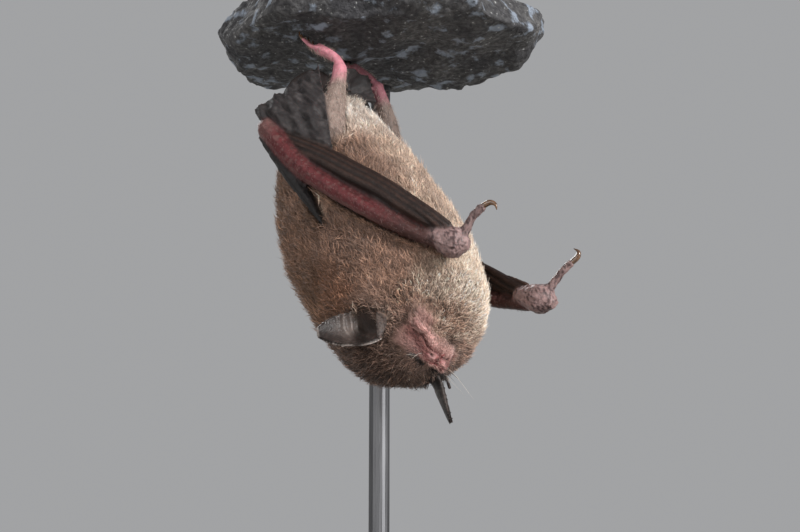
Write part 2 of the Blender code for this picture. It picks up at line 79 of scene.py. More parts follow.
def srgb(red, green, blue):
    share = np.array((red, green, blue), float) / 255
    return np.where(share < 0.04045, share / 12.92, ((share + 0.055) / 1.055) ** 2.4)


def fade(values, low, high):
    # 0 below low, 1 above high, smooth between
    t = np.clip((np.asarray(values, float) - low) / (high - low), 0, 1)
    return t * t * (3 - 2 * t)


def bell(values, middle, spread):
    return np.exp(-(((np.asarray(values) - middle) / spread) ** 2))


def within(values, low, lowEnd, highStart, high):
    # 1 between two soft edges, 0 outside them
    return fade(values, low, lowEnd) * (1 - fade(values, highStart, high))


def blob(points, middle, size):
    # 1 in the middle of a soft round spot, 0 well away from it
    return np.exp(-(((points - middle) / size) ** 2).sum(1))


def unit(vectors):
    return vectors / np.maximum(np.linalg.norm(vectors, axis=-1, keepdims=True), 1e-12)


def noiseAt(points, size, shift=0.0):
    # soft noise from -1 to 1 at points in millimetres
    scaled = np.asarray(points) / size + shift
    return np.array([noise.noise(Vector(p)) for p in scaled]) * 1.6


def mix(base, other, share):
    share = np.asarray(share)[:, None] if np.ndim(share) else share
    return base + (other - base) * share


def layered(base, *layers):
    # colours laid over each other, each with the share that shows
    for tone, share in layers:
        base = mix(base, tone, share)
    return base


def readPoints(mesh):
    flat = np.empty(len(mesh.vertices) * 3)
    mesh.vertices.foreach_get("co", flat)
    return flat.reshape(-1, 3)


def writePoints(mesh, points):
    mesh.vertices.foreach_set("co", np.ascontiguousarray(points, np.float32).ravel())
    mesh.update()


def readNormals(mesh):
    flat = np.empty(len(mesh.vertices) * 3, np.float32)
    mesh.vertex_normals.foreach_get("vector", flat)
    return flat.reshape(-1, 3).astype(float)


def paint(mesh, name, colours):
    layer = mesh.color_attributes.new(name, "FLOAT_COLOR", "POINT")
    full = np.ones((len(mesh.vertices), 4), np.float32)
    full[:, :3] = colours
    layer.data.foreach_set("color", full.ravel())


def addPiece(name, mesh, material, nodes=()):
    piece = bpy.data.objects.new(name, mesh)
    bpy.context.scene.collection.objects.link(piece)
    mesh.materials.clear()
    mesh.materials.append(material)
    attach(piece, "root")
    if nodes:
        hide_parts(*nodes)
    return piece


def nodeShape(names, grow=0.0):
    # the solids of some nodes in one bmesh, each a little fatter by grow millimetres
    joined = bmesh.new()
    for name in names:
        part = bmesh.new()
        part.from_mesh(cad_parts[name].data)
        bmesh.ops.remove_doubles(part, verts=part.verts, dist=1e-6)
        part.normal_update()
        for corner in part.verts:
            corner.co += corner.normal * grow * mm
        copy = bpy.data.meshes.new("copy")
        part.to_mesh(copy)
        part.free()
        joined.from_mesh(copy)
        bpy.data.meshes.remove(copy)
    return joined


def nodeTree(names):
    # a tree of the nodes' faces in the bat's millimetres, and the node that each face belongs to
    points, faces, owners = [], [], []
    for index, name in enumerate(names):
        shape = nodeShape([name])
        start = len(points)
        points.extend(toBat([corner.co for corner in shape.verts]).tolist())
        shape.verts.index_update()
        for face in shape.faces:
            faces.append([start + corner.index for corner in face.verts])
            owners.append(index)
        shape.free()
    return BVHTree.FromPolygons(points, faces), np.array(owners)


def reshaped(mesh, kind, marked=None, **settings):
    # the mesh after one modifier, which may act on marked points only
    holder = bpy.data.objects.new(mesh.name, mesh)
    bpy.context.scene.collection.objects.link(holder)
    if marked is not None:
        group = holder.vertex_groups.new(name="marked")
        group.add(np.where(marked)[0].tolist(), 1.0, "REPLACE")
    change = holder.modifiers.new(kind.title(), kind)
    for label, value in settings.items():
        setattr(change, label, value)
    graph = bpy.context.evaluated_depsgraph_get()
    made = bpy.data.meshes.new_from_object(holder.evaluated_get(graph), depsgraph=graph)
    bpy.data.objects.remove(holder)
    made.name = mesh.name
    made.shade_smooth()
    return made


def remeshed(shape, name, voxel):
    mesh = bpy.data.meshes.new(name)
    shape.to_mesh(mesh)
    shape.free()
    return reshaped(mesh, "REMESH", mode="VOXEL", voxel_size=voxel * mm)


def smoothRows(rows, count):
    rows = np.asarray(rows, float)
    slopes = np.gradient(rows, axis=0)
    out = []
    for place in np.linspace(0, len(rows) - 1, count):
        k = min(int(place), len(rows) - 2)
        t = place - k
        rise = t * t * (3 - 2 * t)
        out.append(
            rows[k] * (1 - rise) + rows[k + 1] * rise
            + slopes[k] * t * (1 - t) ** 2 + slopes[k + 1] * t * t * (t - 1)
        )
    return np.array(out)


def addTube(shape, route, radii, steps, around, flat=1.0, facing=(1.0, 0.0, 0.0)):
    # a closed tapering tube along a route in the bat's millimetres; flat is its thickness to its width
    route = smoothRows(route, steps)
    radii = smoothRows(np.reshape(radii, (-1, 1)), steps)[:, 0]
    rings = []
    for k in range(steps):
        ahead = unit(route[min(k + 1, steps - 1)] - route[max(k - 1, 0)])
        side = unit(np.cross(ahead, facing))
        up = np.cross(side, ahead)
        turns = math.tau * np.arange(around) / around
        ring = route[k] + radii[k] * (np.outer(np.cos(turns), side) + flat * np.outer(np.sin(turns), up))
        rings.append([shape.verts.new(point) for point in toWorld(ring)])
    ends = []
    for k, step in ((0, -1), (steps - 1, 1)):
        outward = unit(route[min(k + 1, steps - 1)] - route[max(k - 1, 0)]) * step
        ends.append(shape.verts.new(toWorld(route[k] + outward * radii[k] * 0.7)))
    for low, high in zip(rings, rings[1:]):
        for k in range(around):
            shape.faces.new((low[k], high[k], high[(k + 1) % around], low[(k + 1) % around]))
    for k in range(around):
        shape.faces.new((ends[0], rings[0][k], rings[0][(k + 1) % around]))
        shape.faces.new((ends[1], rings[-1][(k + 1) % around], rings[-1][k]))


def tubeMesh(name, routes, radii, steps, around):
    # one smooth mesh of tapering tubes
    shape = bmesh.new()
    for route in routes:
        addTube(shape, route, radii, steps, around)
    mesh = bpy.data.meshes.new(name)
    shape.to_mesh(mesh)
    shape.free()
    mesh.shade_smooth()
    return mesh


class Neighbours:
    # means and smoothing over the edges of a mesh
    def __init__(self, mesh):
        ends = np.empty(len(mesh.edges) * 2, np.int32)
        mesh.edges.foreach_get("vertices", ends)
        self.a, self.b = ends[::2], ends[1::2]
        self.size = len(mesh.vertices)
        self.count = np.bincount(ends, minlength=self.size).astype(float)

    def mean(self, values):
        out = np.empty_like(values)
        for k in range(values.shape[1]):
            total = np.bincount(self.a, values[self.b, k], self.size)
            total += np.bincount(self.b, values[self.a, k], self.size)
            out[:, k] = total / self.count
        return out

    def relax(self, values, steps, amount):
        for _ in range(steps):
            values = values + (self.mean(values) - values) * amount
        return values


# Camera: millimetres from its aim, degrees that it looks up, its aim from the trunk's middle, and lens.
view = {"distance": 250.0, "pitch": 13.0, "fromMiddle": (4.2, 1.7, -11.9), "lens": 70.9, "clipStart": 5.0}


def makeCamera():
    aim = (trunkLow + trunkHigh) / 2 + Vector(view["fromMiddle"]) * mm
    pitch = math.radians(view["pitch"])
    look = Vector((0, math.cos(pitch), math.sin(pitch)))
    camera = bpy.data.objects.new("camera", bpy.data.cameras.new("camera"))
    bpy.context.scene.collection.objects.link(camera)
    camera.location = aim - look * view["distance"] * mm
    camera.rotation_euler = look.to_track_quat("-Z", "Y").to_euler()
    camera.data.lens = view["lens"]
    camera.data.clip_start = view["clipStart"] * mm
    bpy.context.scene.camera = camera


makeCamera()
print("camera placed")


def bothSides(*names):
    return [f"{name}_{side}" for name in names for side in ("left", "right")]


furryNodes = ["trunk", "neck", "head"]

# The nodes of flesh, grouped by the look of their skin.
groups = {
    "fur": furryNodes,
    "ear": bothSides("ear", "tragus"),
    "wing": [*bothSides("wing_membrane"), "tail_membrane", *bothSides("upper_arm")],
    "fingers": bothSides("fingers"),
    "arm": bothSides("forearm"),
    "hand": bothSides("wrist", "thumb"),
    "leg": bothSides("shank", "foot"),
    "tail": ["tail"],
}
fleshNodes = [node for members in groups.values() for node in members]

# One skin over all of them, in millimetres along the bat's own axes.
skinForm = {
    "overlap": 0.2,         # how much the nodes are fattened before they merge
    "voxel": 0.21,          # grid that merges them
    "bodyDepth": 1.6,       # how deep the skin lies under the coat's surface
    "crownDepth": 1.2,
    "crown": (12.0, 20.0),  # where the one depth turns into the other
    "muzzleDepth": 0.05,
    "rumpShare": 0.35,      # share of the depth that is left past the rump
    "rump": (-23.2, -20.8),     # where the coat ends before the tail
    "limbReach": 0.5,       # skin nearer than this to a limb belongs to it
    "footStart": -26.0,     # the feet's skin keeps its shape beyond here
    "muzzleBox": ((-6.6, -5.4, 4.6), (6.6, 2.6, 99.0)),
    "bodySteps": 56,        # rounds of smoothing
    "limbSteps": 5,
    "shrinkSteps": 6,
    "keepShare": 0.45,      # share of the faces kept under the coat
    "underfurShade": 0.42,  # how bright the skin under the coat is beside the coat
}

# How wet each group of the skin looks.
wetness = {
    "fur": 0.0, "ear": 0.75, "wing": 0.2, "fingers": 0.35, "arm": 0.45, "hand": 0.6, "leg": 0.2, "tail": 0.0,
    "face": 0.6,
}

# Feet: heel, sole and the way the toes point, in the bat's millimetres.
feet = {
    "left": ((6.0, -6.0, -26.3), (6.0, -5.0, -28.2), (6.0, -3.4, -30.2)),
    "right": ((-6.0, -6.7, -26.9), (-6.0, -5.6, -29.0), (-6.0, -4.1, -31.2)),
}

# Toes in millimetres: width of their row at the sole and at the tips, length, and how far they arch.
toeForm = {
    "count": 5,
    "row": 2.7,
    "spread": 4.1,
    "length": 3.6,
    "outerShorter": 0.08,
    "setBack": 0.9,
    "arch": 0.32,
    "radii": (0.42, 0.33, 0.3, 0.26),
    "ankle": (0.0, 0.3, 1.2),
    "padWidths": (1.2, 1.05, 1.3, 1.5),
    "padFlat": 0.62,
    "claw": (0.24, 0.22, 0.16, 0.04),
}
rockward = np.array((0.0, 0.0, 1.0)) @ batAxes


def toeRoute(foot, fan):
    # fan runs from -1 to 1 across the row of toes
    heel, sole = np.array(foot[1]), np.array(foot[2])
    onward = unit(sole - heel)
    sideways = unit(np.cross(onward, rockward))
    start = sole - onward * toeForm["setBack"] + sideways * fan * toeForm["row"] / 2
    reach = onward * toeForm["length"] * (1 - toeForm["outerShorter"] * fan * fan)
    reach = reach + sideways * fan * (toeForm["spread"] - toeForm["row"]) / 2
    middle = start + reach * 0.5 - rockward * toeForm["arch"]
    return start, middle, start + reach * 0.82 + rockward * 0.02, start + reach + rockward * 0.2


def clawRoute(foot, fan):
    route = toeRoute(foot, fan)
    end = route[3]
    ahead = unit(end - route[2])
    low = end + ahead * 0.65 + rockward * 0.3
    return end - ahead * 0.25, end + ahead * 0.3, low, end + ahead * 0.7 + rockward * 0.8


def toeFans():
    return [2 * k / (toeForm["count"] - 1) - 1 for k in range(toeForm["count"])]


# Skin that joins the left forearm to its folded fingers, in the bat's millimetres.
armWeb = {
    "route": (
        (13.2, -7.0, 1.3), (12.9, -7.75, 2.9), (12.45, -8.75, 4.8), (12.3, -9.8, 6.6), (12.1, -10.7, 8.2),
    ),
    "radii": (0.4, 0.6, 0.62, 0.6, 0.4),
}


def addFeet(shape):
    for foot in feet.values():
        ankle = np.array(foot[0]) + toeForm["ankle"]
        route = (ankle, *foot)
        addTube(shape, route, toeForm["padWidths"], 8, 14, flat=toeForm["padFlat"], facing=rockward)
        for fan in toeFans():
            addTube(shape, toeRoute(foot, fan), toeForm["radii"], steps=8, around=10)


def refineMuzzle(mesh):
    # halve the faces round the muzzle, where the folds are small
    shape = bmesh.new()
    shape.from_mesh(mesh)
    shape.verts.ensure_lookup_table()
    inHead = toHead(toBat([corner.co for corner in shape.verts]))
    low, high = skinForm["muzzleBox"]
    near = ((inHead > low) & (inHead < high)).all(1)
    chosen = [e for e in shape.edges if near[e.verts[0].index] and near[e.verts[1].index]]
    bmesh.ops.subdivide_edges(shape, edges=chosen, cuts=1, use_grid_fill=True)
    shape.to_mesh(mesh)
    shape.free()
    mesh.shade_smooth()


def groupWeights(points, neighbours, steps):
    # which node each point of the skin comes from, the limbs before the body, and a soft share of each group
    owner = np.empty(len(points), int)
    bodyTree, bodyOwner = nodeTree(furryNodes)
    limbTree, limbOwner = nodeTree([name for name in fleshNodes if name not in furryNodes])
    for k, point in enumerate(points):
        spot = Vector(point)
        limb = limbTree.find_nearest(spot, skinForm["limbReach"])
        if limb[0] is None:
            body = bodyTree.find_nearest(spot)
            limb = limbTree.find_nearest(spot, body[3])
            owner[k] = bodyOwner[body[2]] if limb[0] is None else limbOwner[limb[2]] + len(furryNodes)
        else:
            owner[k] = limbOwner[limb[2]] + len(furryNodes)
    weights = np.zeros((len(points), len(groups)))
    start = 0
    for k, members in enumerate(groups.values()):
        weights[:, k] = (owner >= start) & (owner < start + len(members))
        start += len(members)
    return neighbours.relax(weights, steps, 0.5), owner


def ownedBy(owner, name):
    # the points of the skin that come from one node
    return np.where(owner == fleshNodes.index(name))[0]


def faceAxes(inHead):
    # distance from the middle of the face, height and depth
    return np.abs(inHead[:, 0]), inHead[:, 1], inHead[:, 2]


# Where coat gives way to bare skin on the face, as soft edges in the head's own millimetres.
bareArea = {
    "ahead": (5.0, 6.3),
    "top": (0.3, 1.5),
    "bottom": (-5.3, -4.1),
    "side": (4.9, 6.2),
    "chinAhead": 2.0,
    "chinBelow": (1.7, 3.5),
    "chinSide": (2.0, 4.2),
    "rightChin": 1.6,
}


def chinShare(inHead):
    # the fur reaches farther onto the right side of the chin
    side = np.abs(inHead[:, 0]) - np.where(inHead[:, 0] < 0, bareArea["rightChin"], 0.0)
    return fade(-inHead[:, 1], *bareArea["chinBelow"]) * (1 - fade(side, *bareArea["chinSide"]))


def bareFace(inHead, wider=0.0):
    # 1 on the bare part of the face, 0 where the coat grows thick
    side, up, ahead = faceAxes(inHead)
    chin = bareArea["chinAhead"] * chinShare(inHead)
    share = fade(ahead - chin + wider, *bareArea["ahead"])
    share = share * (1 - fade(up - wider, *bareArea["top"])) * fade(up + wider, *bareArea["bottom"])
    return share * (1 - fade(side - wider, *bareArea["side"]))


def coatDepth(points):
    crown = fade(points[:, 2], *skinForm["crown"])
    depth = skinForm["bodyDepth"] + (skinForm["crownDepth"] - skinForm["bodyDepth"]) * crown
    return depth + (skinForm["muzzleDepth"] - depth) * bareFace(toHead(points), 0.4)


def rumpFur(points):
    # the coat ends on the rump before the tail
    return fade(points[:, 2], *skinForm["rump"])


def rumpDepth(points):
    return skinForm["rumpShare"] + (1 - skinForm["rumpShare"]) * rumpFur(points)


# Folds of the face, in the head's own millimetres: left, up, forward.
face = {
    "nostril": {
        "at": (1.25, -0.35), "pad": 0.34, "padSize": 0.56,
        "hole": 0.55, "holeAt": (1.5, -0.6), "holeSize": 0.24,
    },
    "groove": {"depth": 0.26, "width": 0.3},
    "gland": {"at": (3.0, 0.0, 6.9), "size": 1.2, "height": 0.35},
    "creases": {"size": 0.75, "height": 0.07},
    "mouth": {
        "depth": 0.55, "width": 0.27, "front": -1.2, "back": -3.3, "from": 5.0, "to": 8.8, "curve": 0.55,
    },
    "lowerLip": {"height": 0.52, "width": 0.5, "below": 1.05},
    "upperLip": {"height": 0.16, "width": 0.5, "above": 0.75},
    "cheekDip": {"depth": 0.3, "width": 0.8, "above": 0.8},
    "eye": {"at": (6.9, -0.9, 4.2), "bulge": 0.3, "size": 0.8, "slit": 0.3, "slitWidth": 0.14, "slant": 0.35},
}


def mouthHeight(forward):
    line = face["mouth"]
    t = np.clip((forward - line["from"]) / (line["to"] - line["from"]), 0, 1)
    return line["back"] + (line["front"] - line["back"]) * t ** line["curve"]


def mouthReach(forward):
    line = face["mouth"]
    return fade(forward, line["from"] - 0.6, line["from"] + 0.1)


def faceMoves(inHead):
    # how far each point of the face moves along its normal
    side, up, ahead = faceAxes(inHead)
    mirrored = np.stack((side, up, ahead), 1)
    nostril, groove, gland, creases = (face[name] for name in ("nostril", "groove", "gland", "creases"))
    pad = nostril["pad"] * blob(mirrored[:, :2], nostril["at"], nostril["padSize"])
    hole = nostril["hole"] * blob(mirrored[:, :2], nostril["holeAt"], nostril["holeSize"])
    cleft = groove["depth"] * bell(side, 0, groove["width"]) * fade(up, -1.1, -0.6)
    move = fade(ahead, 7.0, 8.4) * (pad - hole - cleft)
    move += gland["height"] * blob(mirrored, gland["at"], gland["size"])
    move += creases["height"] * noiseAt(inHead * (1.0, 1.6, 1.0), creases["size"], 12.0)
    mouth, lower, upper, dip = (face[name] for name in ("mouth", "lowerLip", "upperLip", "cheekDip"))
    off = up - mouthHeight(ahead)
    reach = mouthReach(ahead)
    flank = 0.3 + 0.7 * fade(side, 0.7, 2.2)
    move -= reach * flank * mouth["depth"] * bell(off, 0, mouth["width"])
    move += reach * flank * lower["height"] * bell(off, -lower["below"], lower["width"])
    move += reach * upper["height"] * bell(off, upper["above"], upper["width"])
    move -= reach * dip["depth"] * bell(off, dip["above"], dip["width"]) * fade(side, 1.8, 3.0)
    eye = face["eye"]
    lid = blob(mirrored, eye["at"], eye["size"])
    slant = (up - eye["at"][1]) - eye["slant"] * (ahead - eye["at"][2])
    return move + eye["bulge"] * lid - eye["slit"] * lid * bell(slant, 0.05, eye["slitWidth"])


# Folds of the thin skins and limbs: length across and along each fold, and height, in millimetres.
folds = {
    "wing": {"across": 1.0, "along": 4.5, "height": 0.3, "tailShare": 0.4},
    "arm": {"across": 0.7, "along": 2.4, "height": 0.06},
    "hand": {"across": 0.34, "along": 2.6, "height": 0.11, "footShare": 0.4},
    "fingers": {"count": 4, "height": 0.26},
    "ear": {"count": 9.0, "lean": 0.03, "height": 0.13, "rim": 0.1, "rimCount": 13, "edge": 0.06},
}

# Ears: base, tip and the way the hollow side faces, in the bat's millimetres.
ears = {
    "ear_left": ((6.2, 0.0, 19.5), (13.4, 7.5, 18.2), (0.58, -0.81, -0.04)),
    "ear_right": ((-4.3, -0.9, 22.6), (-7.9, -1.0, 32.4), (-0.28, -0.96, -0.11)),
}

# How clear each ear's folds and pale rim are.
earClear = {"ear_left": {"folds": 1.0, "rim": 0.9}, "ear_right": {"folds": 0.2, "rim": 0.2}}

# The mouth of an ear, in millimetres along, across and out of its hollow side.
earMouth = ((-1.0, 0.4, 4.0, 5.4), (-3.4, -2.2, 1.2, 2.2), (-1.2, -0.2, 2.2, 3.4))


def nodeAxis(name):
    # middle and long axis of a node, in the bat's millimetres
    points = toBat([corner.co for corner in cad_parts[name].data.vertices])
    middle = points.mean(0)
    axes = np.linalg.svd(points - middle, full_matrices=False)[2]
    axes[0] *= np.sign(axes[0][2])
    return middle, axes


def earAxes(name):
    # base and length of an ear, and its axes: toward the tip, across, and out of the hollow
    base, tip, hollow = (np.array(row) for row in ears[name])
    length = np.linalg.norm(tip - base)
    ahead = (tip - base) / length
    facing = unit(hollow - ahead * hollow.dot(ahead))
    return base, length, np.stack((ahead, np.cross(facing, ahead), facing))


def earPlaces(name, points):
    # share of the ear's length, millimetres across it, and share of its half width
    slices = 24
    base, length, axes = earAxes(name)
    place = (points - base) @ axes[0] / length
    across = (points - base) @ axes[1]
    bins = np.clip((place * slices).astype(int), 0, slices - 1)
    edge = [np.abs(across[bins == k]).max() if (bins == k).any() else 1.0 for k in range(slices)]
    edge = np.convolve(np.pad(edge, 1, "edge"), (0.25, 0.5, 0.25), "valid")
    return place, across, np.abs(across) / edge[bins], axes[2]


def earHollow(points):
    # 1 on the head's skin inside the mouth of either ear
    hollow = np.zeros(len(points))
    for name in ears:
        base, _, axes = earAxes(name)
        local = (points - base) @ axes.T
        inside = np.prod([within(local[:, k], *edges) for k, edges in enumerate(earMouth)], axis=0)
        hollow = np.maximum(hollow, inside)
    return hollow


def earWave(points, place, across):
    # uneven arcs across the middle of the ear's hollow
    fold = folds["ear"]
    wander = 0.05 * noiseAt(points, 2.2, 6.6)
    bow = fold["lean"] * across + 0.008 * across ** 2
    wave = np.sin(math.tau * fold["count"] * (place + bow + wander))
    inner = within(place, 0.2, 0.34, 0.6, 0.76) * (1 - fade(across, -0.6, 1.3))
    return wave, inner * (0.6 + 0.4 * np.clip(noiseAt(points, 1.7, 1.6) + 0.5, 0, 1))


def fingerGrooves(local):
    # 1 on the folded fingers' backs, 0 in the grooves between them, unevenly spaced
    fold = folds["fingers"]
    place = local[:, 1] / np.ptp(local[:, 1])
    bend = 0.5 * noiseAt(local * (1, 0, 0), 6.0, 5.0) + 0.9 * np.sin(5.0 * place)
    return np.abs(np.sin(math.pi * fold["count"] * place + 0.8 + bend))


def membraneMoves(name, local, axes):
    # both faces of the sheet go the same way, so that it keeps its thickness
    fold = folds["wing"]
    ridge = 0.5 - np.abs(noiseAt(local / (fold["along"], fold["across"], 4.0), 1.0, 3.7))
    fine = noiseAt(local / (2.0, 0.6, 2.0), 1.0, 8.8) * 0.25
    height = fold["height"] * (fold["tailShare"] if name == "tail_membrane" else 1.0)
    return axes[2] * ((ridge + fine) * height * 2)[:, None]


def earMoves(name, points, normals):
    fold = folds["ear"]
    place, across, share, facing = earPlaces(name, points)
    wave, inner = earWave(points, place, across)
    wave = wave * inner * fold["height"] * (1 - fade(share, 0.85, 1.0))
    rim = fade(share, 0.8, 0.95) * (across < 0) * fold["rim"]
    crinkle = np.sin(math.tau * fold["rimCount"] * place) * rim
    moves = facing * (earClear[name]["folds"] * (wave + crinkle))[:, None]
    return moves + normals * (fade(share, 0.86, 0.96) * fold["edge"])[:, None]


def limbMoves(points, normals, owner):
    moves = np.zeros_like(points)
    for name in fleshNodes:
        mine = ownedBy(owner, name)
        if not len(mine):
            continue
        middle, axes = nodeAxis(name)
        local = (points[mine] - middle) @ axes.T
        own = normals[mine]
        if "membrane" in name:
            moves[mine] = membraneMoves(name, local, axes)
        elif name in ears:
            moves[mine] = earMoves(name, points[mine], own)
        elif name in groups["fingers"]:
            height = (fingerGrooves(local) ** 0.6 - 0.75) * folds["fingers"]["height"]
            moves[mine] = own * height[:, None]
        elif "arm" in name:
            fold = folds["arm"]
            ripple = noiseAt(local / (fold["across"], fold["along"], fold["along"]), 1.0, 1.3)
            moves[mine] = own * (ripple * fold["height"])[:, None]
        elif "wrist" in name or "thumb" in name or "foot" in name:
            fold = folds["hand"]
            ripple = np.abs(noiseAt(local / (fold["along"], fold["across"], fold["across"]), 1.0, 8.1))
            height = fold["height"] * (fold["footShare"] if "foot" in name else 1.0)
            moves[mine] = own * ((ripple * 2 - 0.5) * height)[:, None]
    return moves


# Bare skin colours.
skinTones = {
    "face": srgb(146, 88, 85),
    "faceDarkAndShade": srgb(84, 34, 35),
    "creaseShade": srgb(58, 16, 19),
    "lip": srgb(222, 172, 164),
    "chin": srgb(118, 86, 74),
    "nose": srgb(196, 148, 144),
    "nostril": srgb(34, 20, 20),
    "ear": srgb(50, 42, 39),
    "earTip": srgb(40, 34, 32),
    "earPaleAndHighlight": srgb(112, 100, 94),
    "earShade": srgb(24, 16, 13),
    "earRimAndHighlight": srgb(168, 156, 149),
    "wing": srgb(48, 44, 44),
    "wingPale": srgb(76, 70, 69),
    "fingers": srgb(30, 20, 17),
    "fingersEdge": srgb(84, 58, 47),
    "arm": srgb(88, 38, 40),
    "armDark": srgb(44, 25, 24),
    "armPale": srgb(108, 80, 76),
    "armWrist": srgb(62, 42, 38),
    "hand": srgb(142, 117, 114),
    "handDark": srgb(56, 42, 43),
    "leg": srgb(196, 128, 138),
    "legPale": srgb(138, 120, 111),
    "tail": srgb(60, 52, 50),
}

# Painted shade: how much darker some nodes are painted than the others of their group, mostly for the shade
# that they lie in, as on the right leg and the left upper arm.
paintedNodeShades = {
    "thumb_left": 0.68, "thumb_right": 0.88, "upper_arm_left": 0.5, "upper_arm_right": 0.6,
    "shank_right": 0.6, "foot_right": 0.75, "ear_right": 0.65, "fingers_right": 0.8,
}

# The way that the forearms' undersides face.
armUnderside = unit(np.array((0.0, 0.33, 0.94)))

# Where the legs turn from fur-grey to pink.
legTurn = (-24.6, -21.5)


def faceTones(inHead):
    tone, nostril = skinTones, face["nostril"]
    side, up, ahead = faceAxes(inHead)
    flat = np.stack((side, up), 1)
    off = up - mouthHeight(ahead)
    reach = mouthReach(ahead)
    patches = noiseAt(inHead, 1.3, 5.0) + 0.4 * noiseAt(inHead, 0.45, 2.0)
    return layered(
        tone["face"],
        (tone["faceDarkAndShade"], 0.4 * fade(patches, -0.1, 0.7)),
        # painted shade in the hollow of skin above the mouth
        (tone["faceDarkAndShade"], 0.8 * reach * bell(off, 0.8, 1.1) * fade(side, 1.2, 2.6)),
        (tone["chin"], 0.7 * chinShare(inHead)),
        # the lower lip's pale rim: partly its own paler tone, partly painted highlight on its ridge
        (tone["lip"], 0.95 * reach * bell(off, -face["lowerLip"]["below"], 0.6) * fade(side, 0.5, 1.5)),
        # painted shade in the slit of the mouth
        (tone["creaseShade"], reach * bell(off, 0.02, 0.2)),
        (tone["nose"], 0.9 * blob(flat, nostril["at"], nostril["padSize"] * 1.1) * fade(ahead, 7.2, 8.6)),
        # painted shade in the cleft between the nostrils
        (tone["creaseShade"], 0.85 * bell(side, 0, 0.32) * fade(ahead, 7.4, 8.4) * fade(up, -1.4, -0.7)),
        # painted shade inside the nostrils' openings
        (tone["nostril"], blob(flat, nostril["holeAt"], nostril["holeSize"] * 1.05) * fade(ahead, 6.8, 8.0)),
    )


def earTones(points, owner, fine):
    tone = skinTones
    colour = mix(tone["ear"], tone["earPaleAndHighlight"], 0.2 * fade(fine, -0.1, 0.8))
    for name in ears:
        mine = ownedBy(owner, name)
        place, across, share, _ = earPlaces(name, points[mine])
        wave, inner = earWave(points[mine], place, across)
        edge = np.maximum(fade(share, 0.91, 0.98), 0.7 * fade(place / place.max(), 0.97, 0.99))
        colour[mine] = layered(
            colour[mine],
            (tone["earTip"], 0.8 * fade(place, 0.66, 0.9)),
            # painted highlight across the middle of the ear's hollow
            (tone["earPaleAndHighlight"], 0.5 * bell(place, 0.5, 0.17) * bell(across, -0.3, 1.7)),
            # painted highlight on the crests of the ear's folds
            (tone["earRimAndHighlight"], 0.2 * inner * fade(wave, 0.2, 0.9)),
            # painted shade in the deep part of the ear's hollow, under its upper edge
            (tone["earShade"], 0.9 * (1 - fade(place, 0.38, 0.55)) * (1 - fade(across, -2.2, -0.9))),
            (tone["earRimAndHighlight"], earClear[name]["rim"] * edge),
        )
    for name in bothSides("tragus"):
        mine = ownedBy(owner, name)
        speckle = fade(noiseAt(points[mine], 0.3, 3.3), -0.3, 0.5)
        colour[mine] = mix(colour[mine], tone["earPaleAndHighlight"], 0.45 * speckle)
    return colour


def armTones(points, normals, owner, fine):
    tone = skinTones
    colour = np.tile(tone["arm"], (len(points), 1))
    for name in groups["arm"]:
        mine = ownedBy(owner, name)
        middle, axes = nodeAxis(name)
        run = (points[mine] - middle) @ axes[0]
        run = (run - run.min()) / np.ptp(run)
        lower = normals[mine] @ armUnderside
        colour[mine] = layered(
            tone["arm"],
            (tone["armPale"], 0.55 * fade(fine[mine], 0.1, 0.9)),
            (tone["armPale"], 0.6 * fade(lower, 0.35, 0.9)),
            (tone["armDark"], 0.75 * fade(-lower, 0.2, 0.75)),
            (tone["armWrist"], 0.85 * fade(run, 0.62, 0.92)),
            (tone["armPale"], 0.7 * (1 - fade(run, 0.02, 0.14))),
        )
    return colour


def fingerTones(points, owner, blotch):
    # paler on the fingers' backs and on the edge away from the forearm
    back = np.zeros(len(points))
    for name in groups["fingers"]:
        mine = ownedBy(owner, name)
        middle, axes = nodeAxis(name)
        local = (points[mine] - middle) @ axes.T
        arm = nodeAxis(name.replace("fingers", "forearm"))[0]
        outward = local[:, 1] * -np.sign((arm - middle) @ axes[1]) / (np.ptp(local[:, 1]) / 2)
        back[mine] = 0.3 * fade(fingerGrooves(local), 0.3, 1.0) + 0.8 * fade(outward, 0.55, 0.95)
    back = back * (0.5 + 0.5 * fade(blotch, -0.5, 0.8))
    return mix(skinTones["fingers"], skinTones["fingersEdge"], back)


def skinColours(points, normals, weights, owner):
    tone = skinTones
    blotch = noiseAt(points, 1.9, 2.2)
    fine = noiseAt(points, 0.5, 7.7)
    inHead = toHead(points)
    scaly = fade(noiseAt(points * (1.0, 1.0, 0.4), 0.3, 9.9) + 0.5 * blotch, -0.1, 0.7)
    layers = {
        "fur": layered(
            coatColour(points, normals) * skinForm["underfurShade"],
            (tone["tail"], 1 - rumpFur(points)),
            # painted shade on the head's skin inside the mouth of each ear
            (tone["earShade"], 0.85 * earHollow(points)),
            (faceTones(inHead), bareFace(inHead, 0.6)),
        ),
        "ear": earTones(points, owner, fine),
        "wing": mix(tone["wing"], tone["wingPale"], 0.4 * fade(blotch + fine * 0.8, 0.0, 0.9)),
        "fingers": fingerTones(points, owner, blotch + fine),
        "arm": armTones(points, normals, owner, fine),
        "hand": mix(tone["hand"], tone["handDark"], 0.8 * scaly),
        "leg": mix(tone["leg"], tone["legPale"], fade(points[:, 2], *legTurn)),
        "tail": tone["tail"],
    }
    share = weights / weights.sum(1, keepdims=True)
    # painted shade: some nodes darkened as a whole
    shade = np.array([paintedNodeShades.get(name, 1.0) for name in fleshNodes])[owner]
    return sum(layers[name] * share[:, [k]] for k, name in enumerate(groups)) * shade[:, None]


def placeEyes(points):
    # the eyes' places on the skin, found from the sides of the head
    inHead = toHead(points)
    at = np.array(face["eye"]["at"])
    near = np.where((np.abs(inHead[:, 1] - at[1]) < 0.25) & (np.abs(inHead[:, 2] - at[2]) < 0.25))[0]
    face["eye"]["at"] = (float(np.abs(inHead[near, 0]).max()), float(at[1]), float(at[2]))


def placed(mesh, points):
    # moves the mesh to these points and gives its new normals, both in the bat's axes
    writePoints(mesh, toWorld(points))
    return readNormals(mesh) @ batAxes


